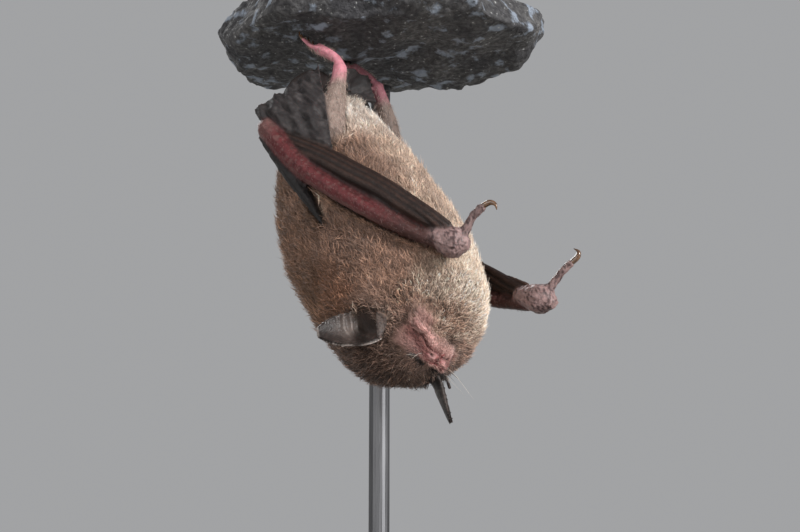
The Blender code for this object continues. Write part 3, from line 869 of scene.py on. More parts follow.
def sunkUnderCoat(mesh, points, furry, footShare, neighbours):
    # smooth the body's facets away, and the limbs' a little, then move in by the coat's depth
    solid = fade(furry, 0.5, 1.0)[:, None]
    limbs = 0.15 * (1 - solid) * (1 - 0.7 * footShare)
    for step in range(skinForm["bodySteps"]):
        amount = 0.5 * solid + (limbs if step < skinForm["limbSteps"] else 0)
        points = points + (neighbours.mean(points) - points) * amount
    inward = skinForm["overlap"] * (1 - footShare[:, 0])
    inward = inward + coatDepth(points) * fade(furry, 0.3, 0.9) * rumpDepth(points)
    inward = neighbours.relax(inward[:, None], steps=12, amount=0.5)
    for _ in range(skinForm["shrinkSteps"]):
        points = points - placed(mesh, points) * inward / skinForm["shrinkSteps"]
        points = points + (neighbours.mean(points) - points) * 0.3 * solid
    return points


def makeSkin(material):
    shape = nodeShape([name for name in fleshNodes if not name.startswith("foot")], skinForm["overlap"])
    addFeet(shape)
    addTube(shape, armWeb["route"], armWeb["radii"], steps=20, around=12)
    mesh = remeshed(shape, "batSkin", skinForm["voxel"])
    refineMuzzle(mesh)
    neighbours = Neighbours(mesh)
    points = toBat(readPoints(mesh))
    weights, owner = groupWeights(points, neighbours, steps=5)
    furry = weights[:, 0]
    print("skin remeshed", len(points))
    footShare = weights[:, list(groups).index("leg")] * (points[:, 2] < skinForm["footStart"])
    points = sunkUnderCoat(mesh, points, furry, footShare[:, None], neighbours)
    normals = placed(mesh, points)
    placeEyes(points)
    inHead = toHead(points)
    ownFace = fade(inHead[:, 2], 2.0, 3.4) * fade(furry, 0.4, 0.9)
    points = points + normals * (faceMoves(inHead) * ownFace)[:, None]
    moves = limbMoves(points, normals, owner) * (1 - fade(furry, 0.1, 0.6))[:, None]
    points = points + neighbours.relax(moves, steps=1, amount=0.5)
    normals = placed(mesh, points)
    paint(mesh, "tint", skinColours(points, normals, weights, owner))
    wet = weights @ np.array([wetness[name] for name in groups])
    wet = np.maximum(wet, wetness["face"] * bareFace(inHead) * furry)
    paint(mesh, "wet", np.tile(wet[:, None], (1, 3)))
    # fewer faces under the coat, where they are hidden
    thin = reshaped(mesh, "DECIMATE", furry > 0.7, ratio=skinForm["keepShare"], vertex_group="marked")
    piece = addPiece("bat_skin", thin, material, fleshNodes)
    print("skin triangles", sum(len(face.vertices) - 2 for face in piece.data.polygons))
    return {"mesh": mesh, "points": points, "normals": normals, "weights": weights, "owner": owner}


class Finish:
    # a Principled material whose nodes are added by short calls
    def __init__(self, name, roughness, **sockets):
        self.material = bpy.data.materials.new(name)
        self.material.use_nodes = True
        self.tree = self.material.node_tree
        self.shader = self.tree.nodes["Principled BSDF"]
        self.shader.inputs["Roughness"].default_value = roughness
        for label, value in sockets.items():
            self.shader.inputs[label.replace("_", " ")].default_value = value
        self.place = self.node("ShaderNodeTexCoord").outputs["Object"]

    def node(self, kind, **inputs):
        made = self.tree.nodes.new(kind)
        for label, value in inputs.items():
            self.join(value, made.inputs[label.replace("_", " ")])
        return made

    def join(self, value, socket):
        if isinstance(value, bpy.types.NodeSocket):
            self.tree.links.new(value, socket)
        else:
            socket.default_value = value

    def noise(self, size, detail=4.0, stretch=(1, 1, 1)):
        # size in millimetres
        mapped = self.node("ShaderNodeMapping", Vector=self.place, Scale=stretch).outputs[0]
        scale = 1 / (size * mm)
        made = self.node("ShaderNodeTexNoise", Vector=mapped, Scale=scale, Detail=detail, Roughness=0.55)
        return made.outputs["Fac"]

    def cells(self, size):
        made = self.node("ShaderNodeTexVoronoi", Vector=self.place, Scale=1 / (size * mm))
        return made.outputs["Distance"]

    def ramp(self, value, low, high, dark=0.0, light=1.0):
        made = self.node("ShaderNodeMapRange", Value=value)
        for label, number in (("From Min", low), ("From Max", high), ("To Min", dark), ("To Max", light)):
            made.inputs[label].default_value = number
        return made.outputs["Result"]

    def blend(self, share, first, second, mode="MIX"):
        made = self.tree.nodes.new("ShaderNodeMix")
        made.data_type = "RGBA"
        made.blend_type = mode
        sockets = [s for s in made.inputs if s.enabled]
        for socket, value in zip(sockets, (share, first, second)):
            if isinstance(value, np.ndarray):
                value = (*value, 1.0)
            self.join(value, socket)
        return [s for s in made.outputs if s.enabled][0]

    def attribute(self, name):
        made = self.tree.nodes.new("ShaderNodeAttribute")
        made.attribute_name = name
        return made.outputs["Color"]

    def colour(self, value):
        self.join(value, self.shader.inputs["Base Color"])

    def bump(self, height, distance, strength=1.0):
        made = self.node("ShaderNodeBump", Height=height, Distance=distance * mm, Strength=strength)
        self.join(made.outputs["Normal"], self.shader.inputs["Normal"])

    def gloss(self, value):
        self.join(value, self.shader.inputs["Roughness"])


# Skin finish: pores, mottling and wrinkles in millimetres, and roughness where it is dry and wet.
skinLook = {
    "pores": 0.22, "mottle": 0.9, "wrinkle": 0.35, "relief": 0.07,
    "poreTone": srgb(60, 40, 38), "dry": (0.5, 0.7), "wet": (0.24, 0.42),
}


def skinMaterial():
    look = Finish("bat skin", 0.5, Specular_IOR_Level=0.24, Subsurface_Weight=0.1, Subsurface_Scale=0.0006)
    look.shader.inputs["Subsurface Radius"].default_value = (1.0, 0.35, 0.25)
    pores = look.cells(skinLook["pores"])
    mottle = look.noise(skinLook["mottle"], 6)
    wrinkle = look.noise(skinLook["wrinkle"], 3)
    shade = look.ramp(mottle, 0.3, 0.7, 0.72, 1.22)
    tinted = look.blend(1.0, look.attribute("tint"), shade, "MULTIPLY")
    look.colour(look.blend(look.ramp(pores, 0.0, 0.25, 0.35, 0.0), tinted, skinLook["poreTone"]))
    look.bump(look.blend(0.5, pores, wrinkle, "ADD"), skinLook["relief"], 0.7)
    dry = look.ramp(wrinkle, 0.3, 0.75, *skinLook["dry"])
    wet = look.ramp(wrinkle, 0.3, 0.75, *skinLook["wet"])
    look.gloss(look.blend(look.attribute("wet"), dry, wet))
    return look.material


def coatMaterial():
    look = Finish("bat coat", 0.62, Specular_IOR_Level=0.35, Sheen_Weight=0.15, Sheen_Roughness=0.5)
    shade = look.ramp(look.noise(0.25, 2), 0.25, 0.75, 0.82, 1.18)
    look.colour(look.blend(1.0, look.attribute("tint"), shade, "MULTIPLY"))
    return look.material


# Claws: two tones, and the size and height of their grain in millimetres.
hornLook = {"dark": srgb(58, 42, 34), "pale": srgb(120, 88, 62), "grain": 0.5, "relief": 0.03}


def hornMaterial():
    look = Finish("claw horn", 0.22, Coat_Weight=0.3)
    grain = look.noise(hornLook["grain"], 4, (1, 1, 3))
    look.colour(look.blend(look.ramp(grain, 0.35, 0.65), hornLook["dark"], hornLook["pale"]))
    look.bump(grain, hornLook["relief"], 0.4)
    return look.material


# Rock: dark stone with darker grain, pale blue blotches of painted highlight and pale specks; their sizes in
# millimetres.
stoneLook = {
    "dark": srgb(56, 55, 58), "pale": srgb(96, 94, 93), "patches": 9.0,
    "grainTone": srgb(30, 29, 32), "grain": 0.8,
    "blueHighlightTone": srgb(150, 160, 174), "blotch": 3.4,
    "speckTone": srgb(186, 186, 184), "speck": 0.7,
    "relief": 0.7,
}


def stoneMaterial():
    tone = stoneLook
    look = Finish("rock stone", 0.85)
    patches = look.noise(tone["patches"], 8)
    grain = look.noise(tone["grain"], 6)
    blotch = look.noise(tone["blotch"], 6)
    specks = look.blend(0.45, look.cells(tone["speck"]), look.ramp(grain, 0.3, 0.7))
    base = look.blend(look.ramp(patches, 0.35, 0.65), tone["dark"], tone["pale"])
    base = look.blend(look.ramp(grain, 0.35, 0.6, 0.0, 0.65), base, tone["grainTone"])
    # painted highlight: pale blue blotches stand for glints of bluish light
    base = look.blend(look.ramp(blotch, 0.55, 0.64, 0.0, 0.75), base, tone["blueHighlightTone"])
    base = look.blend(look.ramp(specks, 0.26, 0.14, 0.0, 0.7), base, tone["speckTone"])
    look.colour(base)
    look.bump(look.blend(0.5, grain, blotch, "ADD"), tone["relief"], 1.0)
    look.gloss(look.ramp(grain, 0.3, 0.7, 0.6, 0.95))
    return look.material


# Stand and floor: two tones each, the size of their mottling in millimetres and the span of roughness.
steelLook = {"tones": (srgb(92, 92, 94), srgb(118, 118, 120)), "size": 1.2, "gloss": (0.44, 0.58)}

paintLook = {"tones": (srgb(42, 42, 44), srgb(52, 51, 52)), "size": 14.0, "gloss": (0.62, 0.74)}

floorLook = {"tones": (srgb(172, 171, 168), srgb(180, 179, 176)), "size": 120.0, "half": 2.0}


def steelMaterial():
    look = Finish("rod steel", 0.4, Metallic=1.0)
    brushed = look.noise(steelLook["size"], 3, (6, 6, 0.15))
    look.colour(look.blend(look.ramp(brushed, 0.3, 0.7), *steelLook["tones"]))
    look.gloss(look.ramp(brushed, 0.3, 0.7, *steelLook["gloss"]))
    look.bump(brushed, 0.01, 0.3)
    return look.material


def paintMaterial():
    look = Finish("base paint", 0.7, Specular_IOR_Level=0.15)
    orange = look.noise(0.5, 2)     # the fine dimples of sprayed paint
    wear = look.noise(paintLook["size"], 6)
    look.colour(look.blend(look.ramp(wear, 0.3, 0.7), *paintLook["tones"]))
    look.gloss(look.ramp(wear, 0.3, 0.7, *paintLook["gloss"]))
    look.bump(orange, 0.03, 0.4)
    return look.material


def floorMaterial():
    look = Finish("floor", 0.85, Specular_IOR_Level=0.15)
    cloud = look.noise(floorLook["size"], 3)
    look.colour(look.blend(look.ramp(cloud, 0.3, 0.7), *floorLook["tones"]))
    return look.material


coatTones = {
    "back": srgb(116, 87, 67),
    "flank": srgb(148, 115, 96),
    "belly": srgb(196, 168, 148),
    "throat": srgb(238, 212, 190),
    "rump": srgb(236, 216, 201),
    "rust": srgb(138, 93, 66),
    "crown": srgb(130, 102, 87),
    "cheek": srgb(156, 126, 111),
    "jaw": srgb(158, 124, 108),
}

# Where each marking runs: soft edges by how far the skin faces the back, and along the bat in millimetres.
coatMarks = {
    "wander": {"size": 7.0, "reach": 0.22},
    "flank": (-0.85, -0.15),
    "back": (0.1, 0.8),
    "throat": {"along": 16.0, "spread": 8.0, "under": (0.35, 0.85)},
    "rump": {"along": (-17.0, -9.0), "above": (0.0, 0.6)},
    "rust": {"at": (11.0, 4.6, 12.6), "size": (4.0, 3.6, 4.4), "share": 0.85},
    "crown": {"along": (16.0, 20.5), "above": (-0.55, 0.1), "share": 0.95},
    "brow": {"above": (2.0, 6.5), "darker": 0.5},
    "cheek": {"ahead": (-1.0, 2.5), "height": (-4.0, -1.0, 2.5, 5.5), "share": 0.8},
    "jaw": {"above": (0.2, 1.6), "wider": 1.5, "share": 0.8},
    "patches": {"size": 2.6, "strength": 0.2},
}


def coatColour(points, normals):
    # the coat's markings at points of the skin, in the bat's millimetres
    tone, mark = coatTones, coatMarks
    inHead = toHead(points)
    along, upward, sideways = points[:, 2], normals[:, 1], np.abs(normals[:, 0])
    wander = noiseAt(points, mark["wander"]["size"], 1.1) * mark["wander"]["reach"]
    throat, rump, rust, crown = (mark[name] for name in ("throat", "rump", "rust", "crown"))
    onThroat = bell(along, throat["along"], throat["spread"]) * fade(-upward - wander, *throat["under"])
    onCrown = fade(along + 2.2 * upward, *crown["along"])
    onCrown = onCrown * fade(upward + 0.15 * (along - 20.0), *crown["above"])
    brow = fade(inHead[:, 1] - 0.3 * inHead[:, 2], *mark["brow"]["above"])
    cheek, jaw = mark["cheek"], mark["jaw"]
    onCheek = fade(inHead[:, 2], *cheek["ahead"]) * within(inHead[:, 1], *cheek["height"])
    onJaw = bareFace(inHead, jaw["wider"]) * (1 - fade(inHead[:, 1], *jaw["above"]))
    colour = layered(
        tone["belly"],
        (tone["flank"], fade(upward + 0.3 * sideways + wander, *mark["flank"])),
        (tone["back"], fade(upward + wander, *mark["back"])),
        (tone["throat"], onThroat),
        (tone["rump"], (1 - fade(along, *rump["along"])) * (1 - fade(upward, *rump["above"]))),
        (tone["rust"], rust["share"] * blob(points, rust["at"], rust["size"])),
        (tone["crown"] * (1 - mark["brow"]["darker"] * brow)[:, None], crown["share"] * onCrown),
        (tone["cheek"], cheek["share"] * onCheek),
        (tone["jaw"], jaw["share"] * onJaw),
    )
    patch = noiseAt(points, mark["patches"]["size"], 4.4)
    return colour * (1 + mark["patches"]["strength"] * patch)[:, None]


# The coat's hairs: how many long and short ones each piece gets, how they rise, bend and clump, and how
# unevenly they are toned; angles in degrees, the rest in millimetres or shares.
coat = {
    "seed": 11,
    "long": 8600,
    "short": 10800,
    "clumpShare": 0.09,
    "clumpPull": 0.3,
    "clumpReach": 1.6,
    "longLift": (54.0, 31.0, 11.0),
    "longParts": (0.3, 0.32, 0.38),
    "longBends": (1.0, -1.6, 1.4),
    "shortLift": 55.0,
    "shortShare": 0.62,
    "shortShades": (0.4, 0.85),
    "scatter": 0.7,
    "crinkle": 0.15,
    "rootDepth": 0.1,
    "lengths": (0.75, 1.2),
    "widths": (0.75, 1.25),
    "toneSpread": 0.34,
    "headSpread": 1.5,
    "limbRoom": 0.35,
    "earRoom": 0.7,
    "patch": 0.003,         # how far a hair spreads on the unwrap
}

# Coat pieces: hair length and width in millimetres, brightness at root and tip, and the finish slot.
coatPieces = {
    "coat_rump": {"length": 2.2, "width": 0.16, "root": 0.55, "tip": 1.35, "slot": "belly_fur"},
    "coat_back": {"length": 3.0, "width": 0.17, "root": 0.3, "tip": 1.5, "slot": "belly_fur"},
    "coat_left": {"length": 2.5, "width": 0.15, "root": 0.3, "tip": 1.5, "slot": "belly_fur"},
    "coat_right": {"length": 2.6, "width": 0.17, "root": 0.35, "tip": 1.45, "slot": "belly_fur"},
    "coat_belly": {"length": 2.4, "width": 0.16, "root": 0.45, "tip": 1.35, "slot": "belly_fur"},
    "coat_throat": {"length": 2.3, "width": 0.14, "root": 0.55, "tip": 1.45, "slot": "throat_fur"},
    "coat_ruff": {"length": 2.2, "width": 0.14, "root": 0.55, "tip": 1.45, "slot": "throat_fur"},
    "coat_head": {"length": 2.1, "width": 0.13, "root": 0.35, "tip": 2.1, "slot": "head_fur"},
}

# Where they meet: degrees round the body from its left side, and millimetres along it and on the head.
coatSeams = {
    "belly": -120, "left": -40, "back": 55, "right": 145,
    "throat": 9.0, "rump": -12.5, "head": 15.0, "browHeight": -1.5, "faceDepth": 2.5,
}


def pieceOf(points):
    # which coat piece each point of the skin belongs to
    seam = coatSeams
    angle = np.degrees(np.arctan2(points[:, 1] + 1.0, points[:, 0]))
    along = points[:, 2]
    inHead = toHead(points)
    belly = (angle > seam["belly"]) & (angle < seam["left"])
    left = (angle >= seam["left"]) & (angle <= seam["back"])
    names = np.full(len(points), "coat_right", dtype=object)
    names[left] = "coat_left"
    names[belly] = "coat_belly"
    names[(along > seam["throat"]) & (left | belly)] = "coat_throat"
    names[(angle > seam["back"]) & (angle < seam["right"])] = "coat_back"
    names[along < seam["rump"]] = "coat_rump"
    top = along > seam["head"]
    names[top] = "coat_ruff"
    names[top & ((inHead[:, 1] > seam["browHeight"]) | (inHead[:, 2] > seam["faceDepth"]))] = "coat_head"
    return names


# How the hair lies, with the size and strength of its wandering in millimetres and shares; how much shorter
# it is round the bare face, toward the nose and at the rump's end, and how uneven.
hairLie = {
    "tailward": (0.0, 0.12, -1.0),
    "wander": ((5.0, 9.3, 0.35), (1.9, 4.9, 0.3)),
    "head": (-3.0, 3.0),
    "nose": 7.5,
    "backward": 0.35,
    "faceShare": 0.6,
    "noseShare": 0.25,
    "rumpShare": 0.55,
    "rump": (-22.0, -16.0),
    "uneven": 0.18,
}


def lieOf(points, normals):
    # the way the hair lies: tailward on the body, back from the nose on the head
    inHead = toHead(points)
    headShare = fade(inHead[:, 2] + 0.4 * inHead[:, 1], *hairLie["head"])[:, None]
    tailward = np.tile(hairLie["tailward"], (len(points), 1))
    for size, shift, strength in hairLie["wander"]:
        tailward[:, 0] += strength * noiseAt(points, size, shift)
    fromNose = points - (headCentre + headAxes[:, 2] * hairLie["nose"])
    fromNose = unit(fromNose) - hairLie["backward"] * headAxes[:, 2]
    way = unit(tailward) * (1 - headShare) + unit(fromNose) * headShare
    way = way - normals * (way * normals).sum(1)[:, None]
    return unit(way)


def hairScale(points):
    inHead = toHead(points)
    scale = 1 - hairLie["faceShare"] * bareFace(inHead, 1.0)
    scale *= 1 - hairLie["noseShare"] * fade(inHead[:, 2], 1.0, 5.0)
    scale *= 1 - hairLie["rumpShare"] * (1 - fade(points[:, 2], *hairLie["rump"]))
    return scale * (1 + hairLie["uneven"] * noiseAt(points, 3.0, 6.1))


def furShare(points):
    # 1 where fur grows thick, thin round the bare face, none on the lids, in the ears or past the rump
    inHead = toHead(points)
    mirrored = np.abs(inHead) * (1, 0, 0) + inHead * (0, 1, 1)
    lid = blob(mirrored, face["eye"]["at"], 0.5)
    return np.clip((1 - bareFace(inHead)) * (1 - lid) * (1 - earHollow(points)) * rumpFur(points), 0, 1)


def spikes(chains, normals, widths, tints, shades, unwrap):
    # closed three-sided hairs along chains of points that end in a tip
    count, levels = chains.shape[0], chains.shape[1] - 1
    corners = np.empty((count, 3 * levels + 1, 3))
    half = widths[:, None] / 2
    for k in range(levels):
        ahead = unit(chains[:, k + 1] - chains[:, max(k - 1, 0)])
        side = unit(np.cross(normals, ahead))
        up = np.cross(ahead, side)
        slim = 1.0 if k == 0 else 1.05 - 0.22 * k
        corners[:, 3 * k] = chains[:, k] - side * half * slim
        corners[:, 3 * k + 1] = chains[:, k] + side * half * slim
        corners[:, 3 * k + 2] = chains[:, k] + up * half * slim * 1.1
    corners[:, -1] = chains[:, -1]
    # faces of one hair: its root, its sides and its tip
    sides = ((0, 1), (1, 2), (2, 0))
    pattern = [(0, 2, 1)]
    for low in range(0, 3 * levels - 3, 3):
        for a, b in sides:
            pattern += [(low + a, low + b, low + 3 + b), (low + a, low + 3 + b, low + 3 + a)]
    top = 3 * levels - 3
    pattern += [(top + a, top + b, top + 3) for a, b in sides]
    size = corners.shape[1]
    faces = (np.array(pattern)[None] + size * np.arange(count)[:, None, None]).reshape(-1, 3)
    shade = np.append(np.repeat(shades[:-1], 3), shades[-1])
    colours = np.clip(tints[:, None, :] * shade[None, :, None], 0, 1).reshape(-1, 3)
    rows = np.append(np.repeat(np.arange(levels), 3), levels) / levels
    columns = np.append(np.tile((-0.5, 0.5, 0.0), levels), 0.0)
    patch = coat["patch"] * np.stack([columns, rows], 1)
    spread = (unwrap[:, None, :] + patch[None]).reshape(-1, 2)
    return corners.reshape(-1, 3), faces, colours, spread


def hairMesh(name, parts):
    # one mesh from several sets of hairs
    points = np.concatenate([part[0] for part in parts])
    starts = np.cumsum([0] + [len(part[0]) for part in parts[:-1]])
    faces = np.concatenate([part[1] + start for part, start in zip(parts, starts)])
    colours = np.concatenate([part[2] for part in parts])
    spread = np.concatenate([part[3] for part in parts])
    mesh = bpy.data.meshes.new(name)
    mesh.vertices.add(len(points))
    mesh.loops.add(faces.size)
    mesh.polygons.add(len(faces))
    mesh.vertices.foreach_set("co", toWorld(points).astype(np.float32).ravel())
    mesh.loops.foreach_set("vertex_index", faces.astype(np.int32).ravel())
    mesh.polygons.foreach_set("loop_start", np.arange(0, faces.size, 3, dtype=np.int32))
    mesh.update(calc_edges=True)
    mesh.shade_smooth()
    paint(mesh, "tint", colours)
    layer = mesh.uv_layers.new(name="OFBake")
    layer.data.foreach_set("uv", spread[faces.ravel()].astype(np.float32).ravel())
    return mesh


def turned(ways, normals, angles):
    # directions on the skin turned about its normal
    side = np.cross(normals, ways)
    return ways * np.cos(angles)[:, None] + side * np.sin(angles)[:, None]


def pointTree(points):
    tree = KDTree(len(points))
    for k, point in enumerate(points):
        tree.insert(Vector(point), k)
    tree.balance()
    return tree


def shortHairs(draw, root, out, lie, length):
    # chains of two points, straight out of the skin
    count = len(root)
    way = turned(lie, out, draw.normal(0, 0.7, count))
    rise = math.radians(coat["shortLift"]) + draw.normal(0, 0.2, (count, 1))
    tip = root + (way * np.cos(rise) + out * np.sin(rise)) * length[:, None] * coat["shortShare"]
    return np.stack([root - out * coat["rootDepth"], tip], 1)


def longHairs(draw, root, out, lie, length):
    # chains of four points: out of the skin, over, and flat along it, with a crinkle from side to side
    count = len(root)
    way = turned(lie, out, draw.normal(0, coat["scatter"], count))
    side = np.cross(out, way)
    lift = draw.normal(0, 0.17, (count, 1))
    sway = draw.choice((-1.0, 1.0), (count, 1)) * draw.uniform(0.4, 1.3, (count, 1)) * coat["crinkle"]
    chain = [root - out * coat["rootDepth"]]
    place = root
    for angle, share, bend in zip(coat["longLift"], coat["longParts"], coat["longBends"]):
        rise = math.radians(angle) + lift
        step = way * np.cos(rise) + out * np.sin(rise) + side * sway * bend * 2
        place = place + step * length[:, None] * share
        chain.append(place)
    # tips lean toward the middle of their tuft
    picks = draw.choice(count, max(1, int(count * coat["clumpShare"])), replace=False)
    tree = pointTree(root[picks])
    tuft = np.array([tree.find(Vector(p))[1] for p in root])
    chief = picks[tuft]
    near = np.linalg.norm(root[chief] - root, axis=1, keepdims=True) < coat["clumpReach"]
    pull = coat["clumpPull"] * near * draw.uniform(0.3, 1.2, (count, 1))
    for k, share in ((2, 0.4), (3, 1.0)):
        chain[k] = chain[k] + (chain[k][chief] - chain[k]) * pull * share
    tuftTone = draw.lognormal(0, 0.13, len(picks))[tuft]
    return np.stack(chain, 1), tuftTone


def scatterOn(draw, skin, faces, chance, number):
    # places on the skin: point, normal
    pick = skin["corners"][faces[draw.choice(len(faces), number, p=chance / chance.sum())]]
    share = draw.random((number, 2))
    over = share.sum(1) > 1
    share[over] = 1 - share[over]
    mixed = np.stack([1 - share.sum(1), share[:, 0], share[:, 1]], 1)[..., None]
    return (skin["points"][pick] * mixed).sum(1), unit((skin["normals"][pick] * mixed).sum(1))


def clearOf(tree, spots, room):
    # False where a point lies in a limb or nearer to it than room
    clear = np.ones(len(spots), bool)
    for k, spot in enumerate(spots):
        hit = tree.find_nearest(Vector(spot), 2.0)
        if hit[0] is not None:
            away = Vector(spot) - hit[0]
            clear[k] = away.dot(hit[1]) > 0 and away.length > room
    return clear


def unwrapOf(points, onHead):
    # the body's skin unrolled round its long axis, and the head's round the nose
    if onHead:
        local = toHead(points)
        flat = np.stack([np.arctan2(local[:, 0], local[:, 1]), local[:, 2]], 1)
    else:
        flat = np.stack([np.arctan2(points[:, 0], points[:, 1] + 1.0), points[:, 2]], 1)
    low, high = flat.min(0), flat.max(0)
    return 0.01 + 0.975 * (flat - low) / (high - low)


def prepareRoots(skin):
    mesh = skin["mesh"]
    mesh.calc_loop_triangles()
    corners = np.empty(len(mesh.loop_triangles) * 3, np.int32)
    mesh.loop_triangles.foreach_get("vertices", corners)
    skin["corners"] = corners.reshape(-1, 3)
    a, b, c = (skin["points"][skin["corners"][:, k]] for k in range(3))
    skin["area"] = np.linalg.norm(np.cross(b - a, c - a), axis=1) / 2
    skin["middle"] = (a + b + c) / 3
    skin["furry"] = fade(skin["weights"][skin["corners"], 0].mean(1), 0.55, 0.8)


def makeCoat(skin, material):
    density = skin["furry"] * furShare(skin["middle"])
    owner = pieceOf(skin["middle"])
    draw = np.random.default_rng(coat["seed"])
    limbs = [node for node in fleshNodes if node not in furryNodes and not node.startswith(("ear_", "shank"))]
    limbTree = nodeTree(limbs)[0]
    earTree = nodeTree(groups["ear"])[0]
    total = 0
    for name, spec in coatPieces.items():
        mine = np.where((owner == name) & (density > 0))[0]
        chance = skin["area"][mine] * density[mine]
        toneSpread = coat["toneSpread"] * (coat["headSpread"] if name == "coat_head" else 1.0)
        parts = []
        for kind in ("short", "long"):
            number = coat[kind]
            root, out = scatterOn(draw, skin, mine, chance, number)
            lie = lieOf(root, out)
            scale = hairScale(root)
            length = spec["length"] * scale * draw.uniform(*coat["lengths"], number)
            width = spec["width"] * np.clip(scale, 0.5, 1.1) * draw.uniform(*coat["widths"], number)
            tone = draw.lognormal(0, toneSpread, number)
            if kind == "short":
                chains = shortHairs(draw, root, out, lie, length)
                shades = coat["shortShades"]
            else:
                chains, tuftTone = longHairs(draw, root, out, lie, length)
                tone = tone * tuftTone
                shades = (spec["root"], 0.65, 1.0, spec["tip"])
            tips, low = chains[:, -1], root + out * 0.35
            keep = clearOf(limbTree, low, coat["limbRoom"]) & clearOf(limbTree, tips, coat["limbRoom"])
            keep &= clearOf(earTree, tips, coat["earRoom"])
            tint = coatColour(root, out) * tone[:, None]
            flat = unwrapOf(root, name == "coat_head")
            parts.append(spikes(chains[keep], out[keep], width[keep], tint[keep], shades, flat[keep]))
        made = hairMesh(name, parts)
        addPiece(name, made, material)
        total += len(made.polygons)
        print(name, len(made.polygons), "triangles")
    print("coat triangles", total)


# Short sparse hairs on bare skin: how many, length and width in millimetres, lie, colours and finish slot.
fineHairs = {
    "face_hairs": {
        "number": 9500, "length": 1.3, "width": 0.065, "tone": srgb(186, 144, 135), "slot": "head_fur",
        # dark is painted shade for the hairs in the hollow above the mouth; pale is the lip rim's tone,
        # partly painted highlight
        "dark": srgb(124, 70, 64), "pale": srgb(226, 184, 174),
    },
    "arm_hairs": {
        "number": 1500, "length": 0.5, "width": 0.04, "tone": srgb(120, 92, 88), "slot": "arm_skin",
        "lie": np.array((0.0, -0.25, 1.0)),
    },
    "leg_hairs": {
        "number": 1500, "length": 1.0, "width": 0.06, "tone": srgb(180, 160, 148), "slot": "leg_skin",
        "lie": -rockward,
    },
}


def lipBands(inHead):
    # the lower lip's rim, painted pale partly for its own tone and partly as painted highlight, and the
    # hollow of skin above the mouth, painted dark as painted shade
    side, up, ahead = faceAxes(inHead)
    off = up - mouthHeight(ahead)
    reach = mouthReach(ahead) * fade(side, 0.8, 2.2)
    return reach * bell(off, -face["lowerLip"]["below"], 0.6), reach * bell(off, 0.8, 1.0)


def faceHairShare(inHead):
    # where the face's short hairs grow: few on the lips' edges and the nose
    _, up, ahead = faceAxes(inHead)
    rim, hollow = lipBands(inHead)
    line = mouthReach(ahead) * bell(up - mouthHeight(ahead), 0.0, 0.35)
    nose = fade(ahead, 8.6, 9.5) * fade(up, -1.7, -0.9)
    share = bareFace(inHead, 0.9) * (1 - 0.9 * nose) * (1 - 0.6 * line)
    return share * (1 - 0.92 * rim) * (1 - 0.45 * hollow)


def faceHairTones(root, out, spec):
    inHead = toHead(root)
    rim, hollow = lipBands(inHead)
    tint = layered(
        spec["tone"],
        (coatTones["jaw"], 0.7 * chinShare(inHead)),
        # painted shade on the hairs in the hollow above the mouth
        (spec["dark"], 0.85 * hollow),
        # the lip rim's pale tone on the hairs, partly painted highlight
        (spec["pale"], 0.9 * rim),
    )
    return mix(coatColour(root, out) * 1.15, tint, bareFace(inHead))


def makeFineHairs(skin, material):
    draw = np.random.default_rng(coat["seed"] + 1)
    middle = skin["middle"]
    share = dict(zip(groups, skin["weights"][skin["corners"]].mean(1).T))
    places = {
        "face_hairs": faceHairShare(toHead(middle)) * skin["furry"],
        "arm_hairs": share["arm"] * (share["arm"] > 0.6),
        "leg_hairs": share["leg"] * (share["leg"] > 0.6) * (1 - 0.9 * bell(middle[:, 2], -26.0, 2.0)),
    }
    for name, spec in fineHairs.items():
        onFace = name == "face_hairs"
        mine = np.where(places[name] > 0.02)[0]
        number = spec["number"]
        root, out = scatterOn(draw, skin, mine, skin["area"][mine] * places[name][mine], number)
        if onFace:
            lie = lieOf(root, out)
        else:
            lie = unit(spec["lie"] - out * (spec["lie"] * out).sum(1)[:, None])
        way = turned(lie, out, draw.normal(0, 0.4, number))
        rise = draw.normal(0.45, 0.2, (number, 1))
        length = spec["length"] * draw.uniform(0.6, 1.3, (number, 1))
        tint = np.tile(spec["tone"], (number, 1))
        if onFace:
            # shorter and flatter toward the nose
            tint = faceHairTones(root, out, spec)
            length = length * (1.3 - 0.85 * fade(toHead(root)[:, 2], 5.0, 8.8))[:, None]
            rise = rise * 0.75
        tint = tint * draw.lognormal(0, 0.22, number)[:, None]
        bend = root + (way * np.cos(rise) + out * np.sin(rise)) * length * 0.5
        tip = bend + (way * np.cos(rise * 0.3) + out * np.sin(rise * 0.3)) * length * 0.5
        chains = np.stack([root - out * 0.05, bend, tip], 1)
        width = np.full(number, spec["width"])
        made = hairMesh(name, [spikes(chains, out, width, tint, (0.7, 1.0, 1.1), unwrapOf(root, onFace))])
        addPiece(name, made, material)
        print(name, number)


# Whiskers: root and direction in the head's own millimetres for the left side, length, and whether dark.
whiskers = {
    "width": 0.075,
    "leftShare": 0.85,
    "drop": 0.1,
    "pale": srgb(226, 214, 200),
    "dark": srgb(44, 33, 28),
    "hairs": (
        ((2.0, -0.1, 8.2), (0.70, 0.16, 0.70), 6.6, 0),
        ((2.3, 0.5, 7.9), (0.86, 0.10, 0.50), 5.6, 0),
        ((2.6, 0.2, 7.6), (0.92, -0.05, 0.35), 3.4, 1),
        ((2.9, 0.5, 7.1), (0.95, 0.05, 0.30), 3.0, 1),
        ((3.2, 0.8, 6.8), (0.95, 0.15, 0.20), 2.6, 1),
    ),
    "bristles": {
        "number": 90, "low": (0.3, 0.9, 6.9), "high": (3.4, 2.0, 8.3), "length": (1.2, 2.4),
        "way": (0.75, 0.35, 0.55), "scatter": 0.22,
    },
}


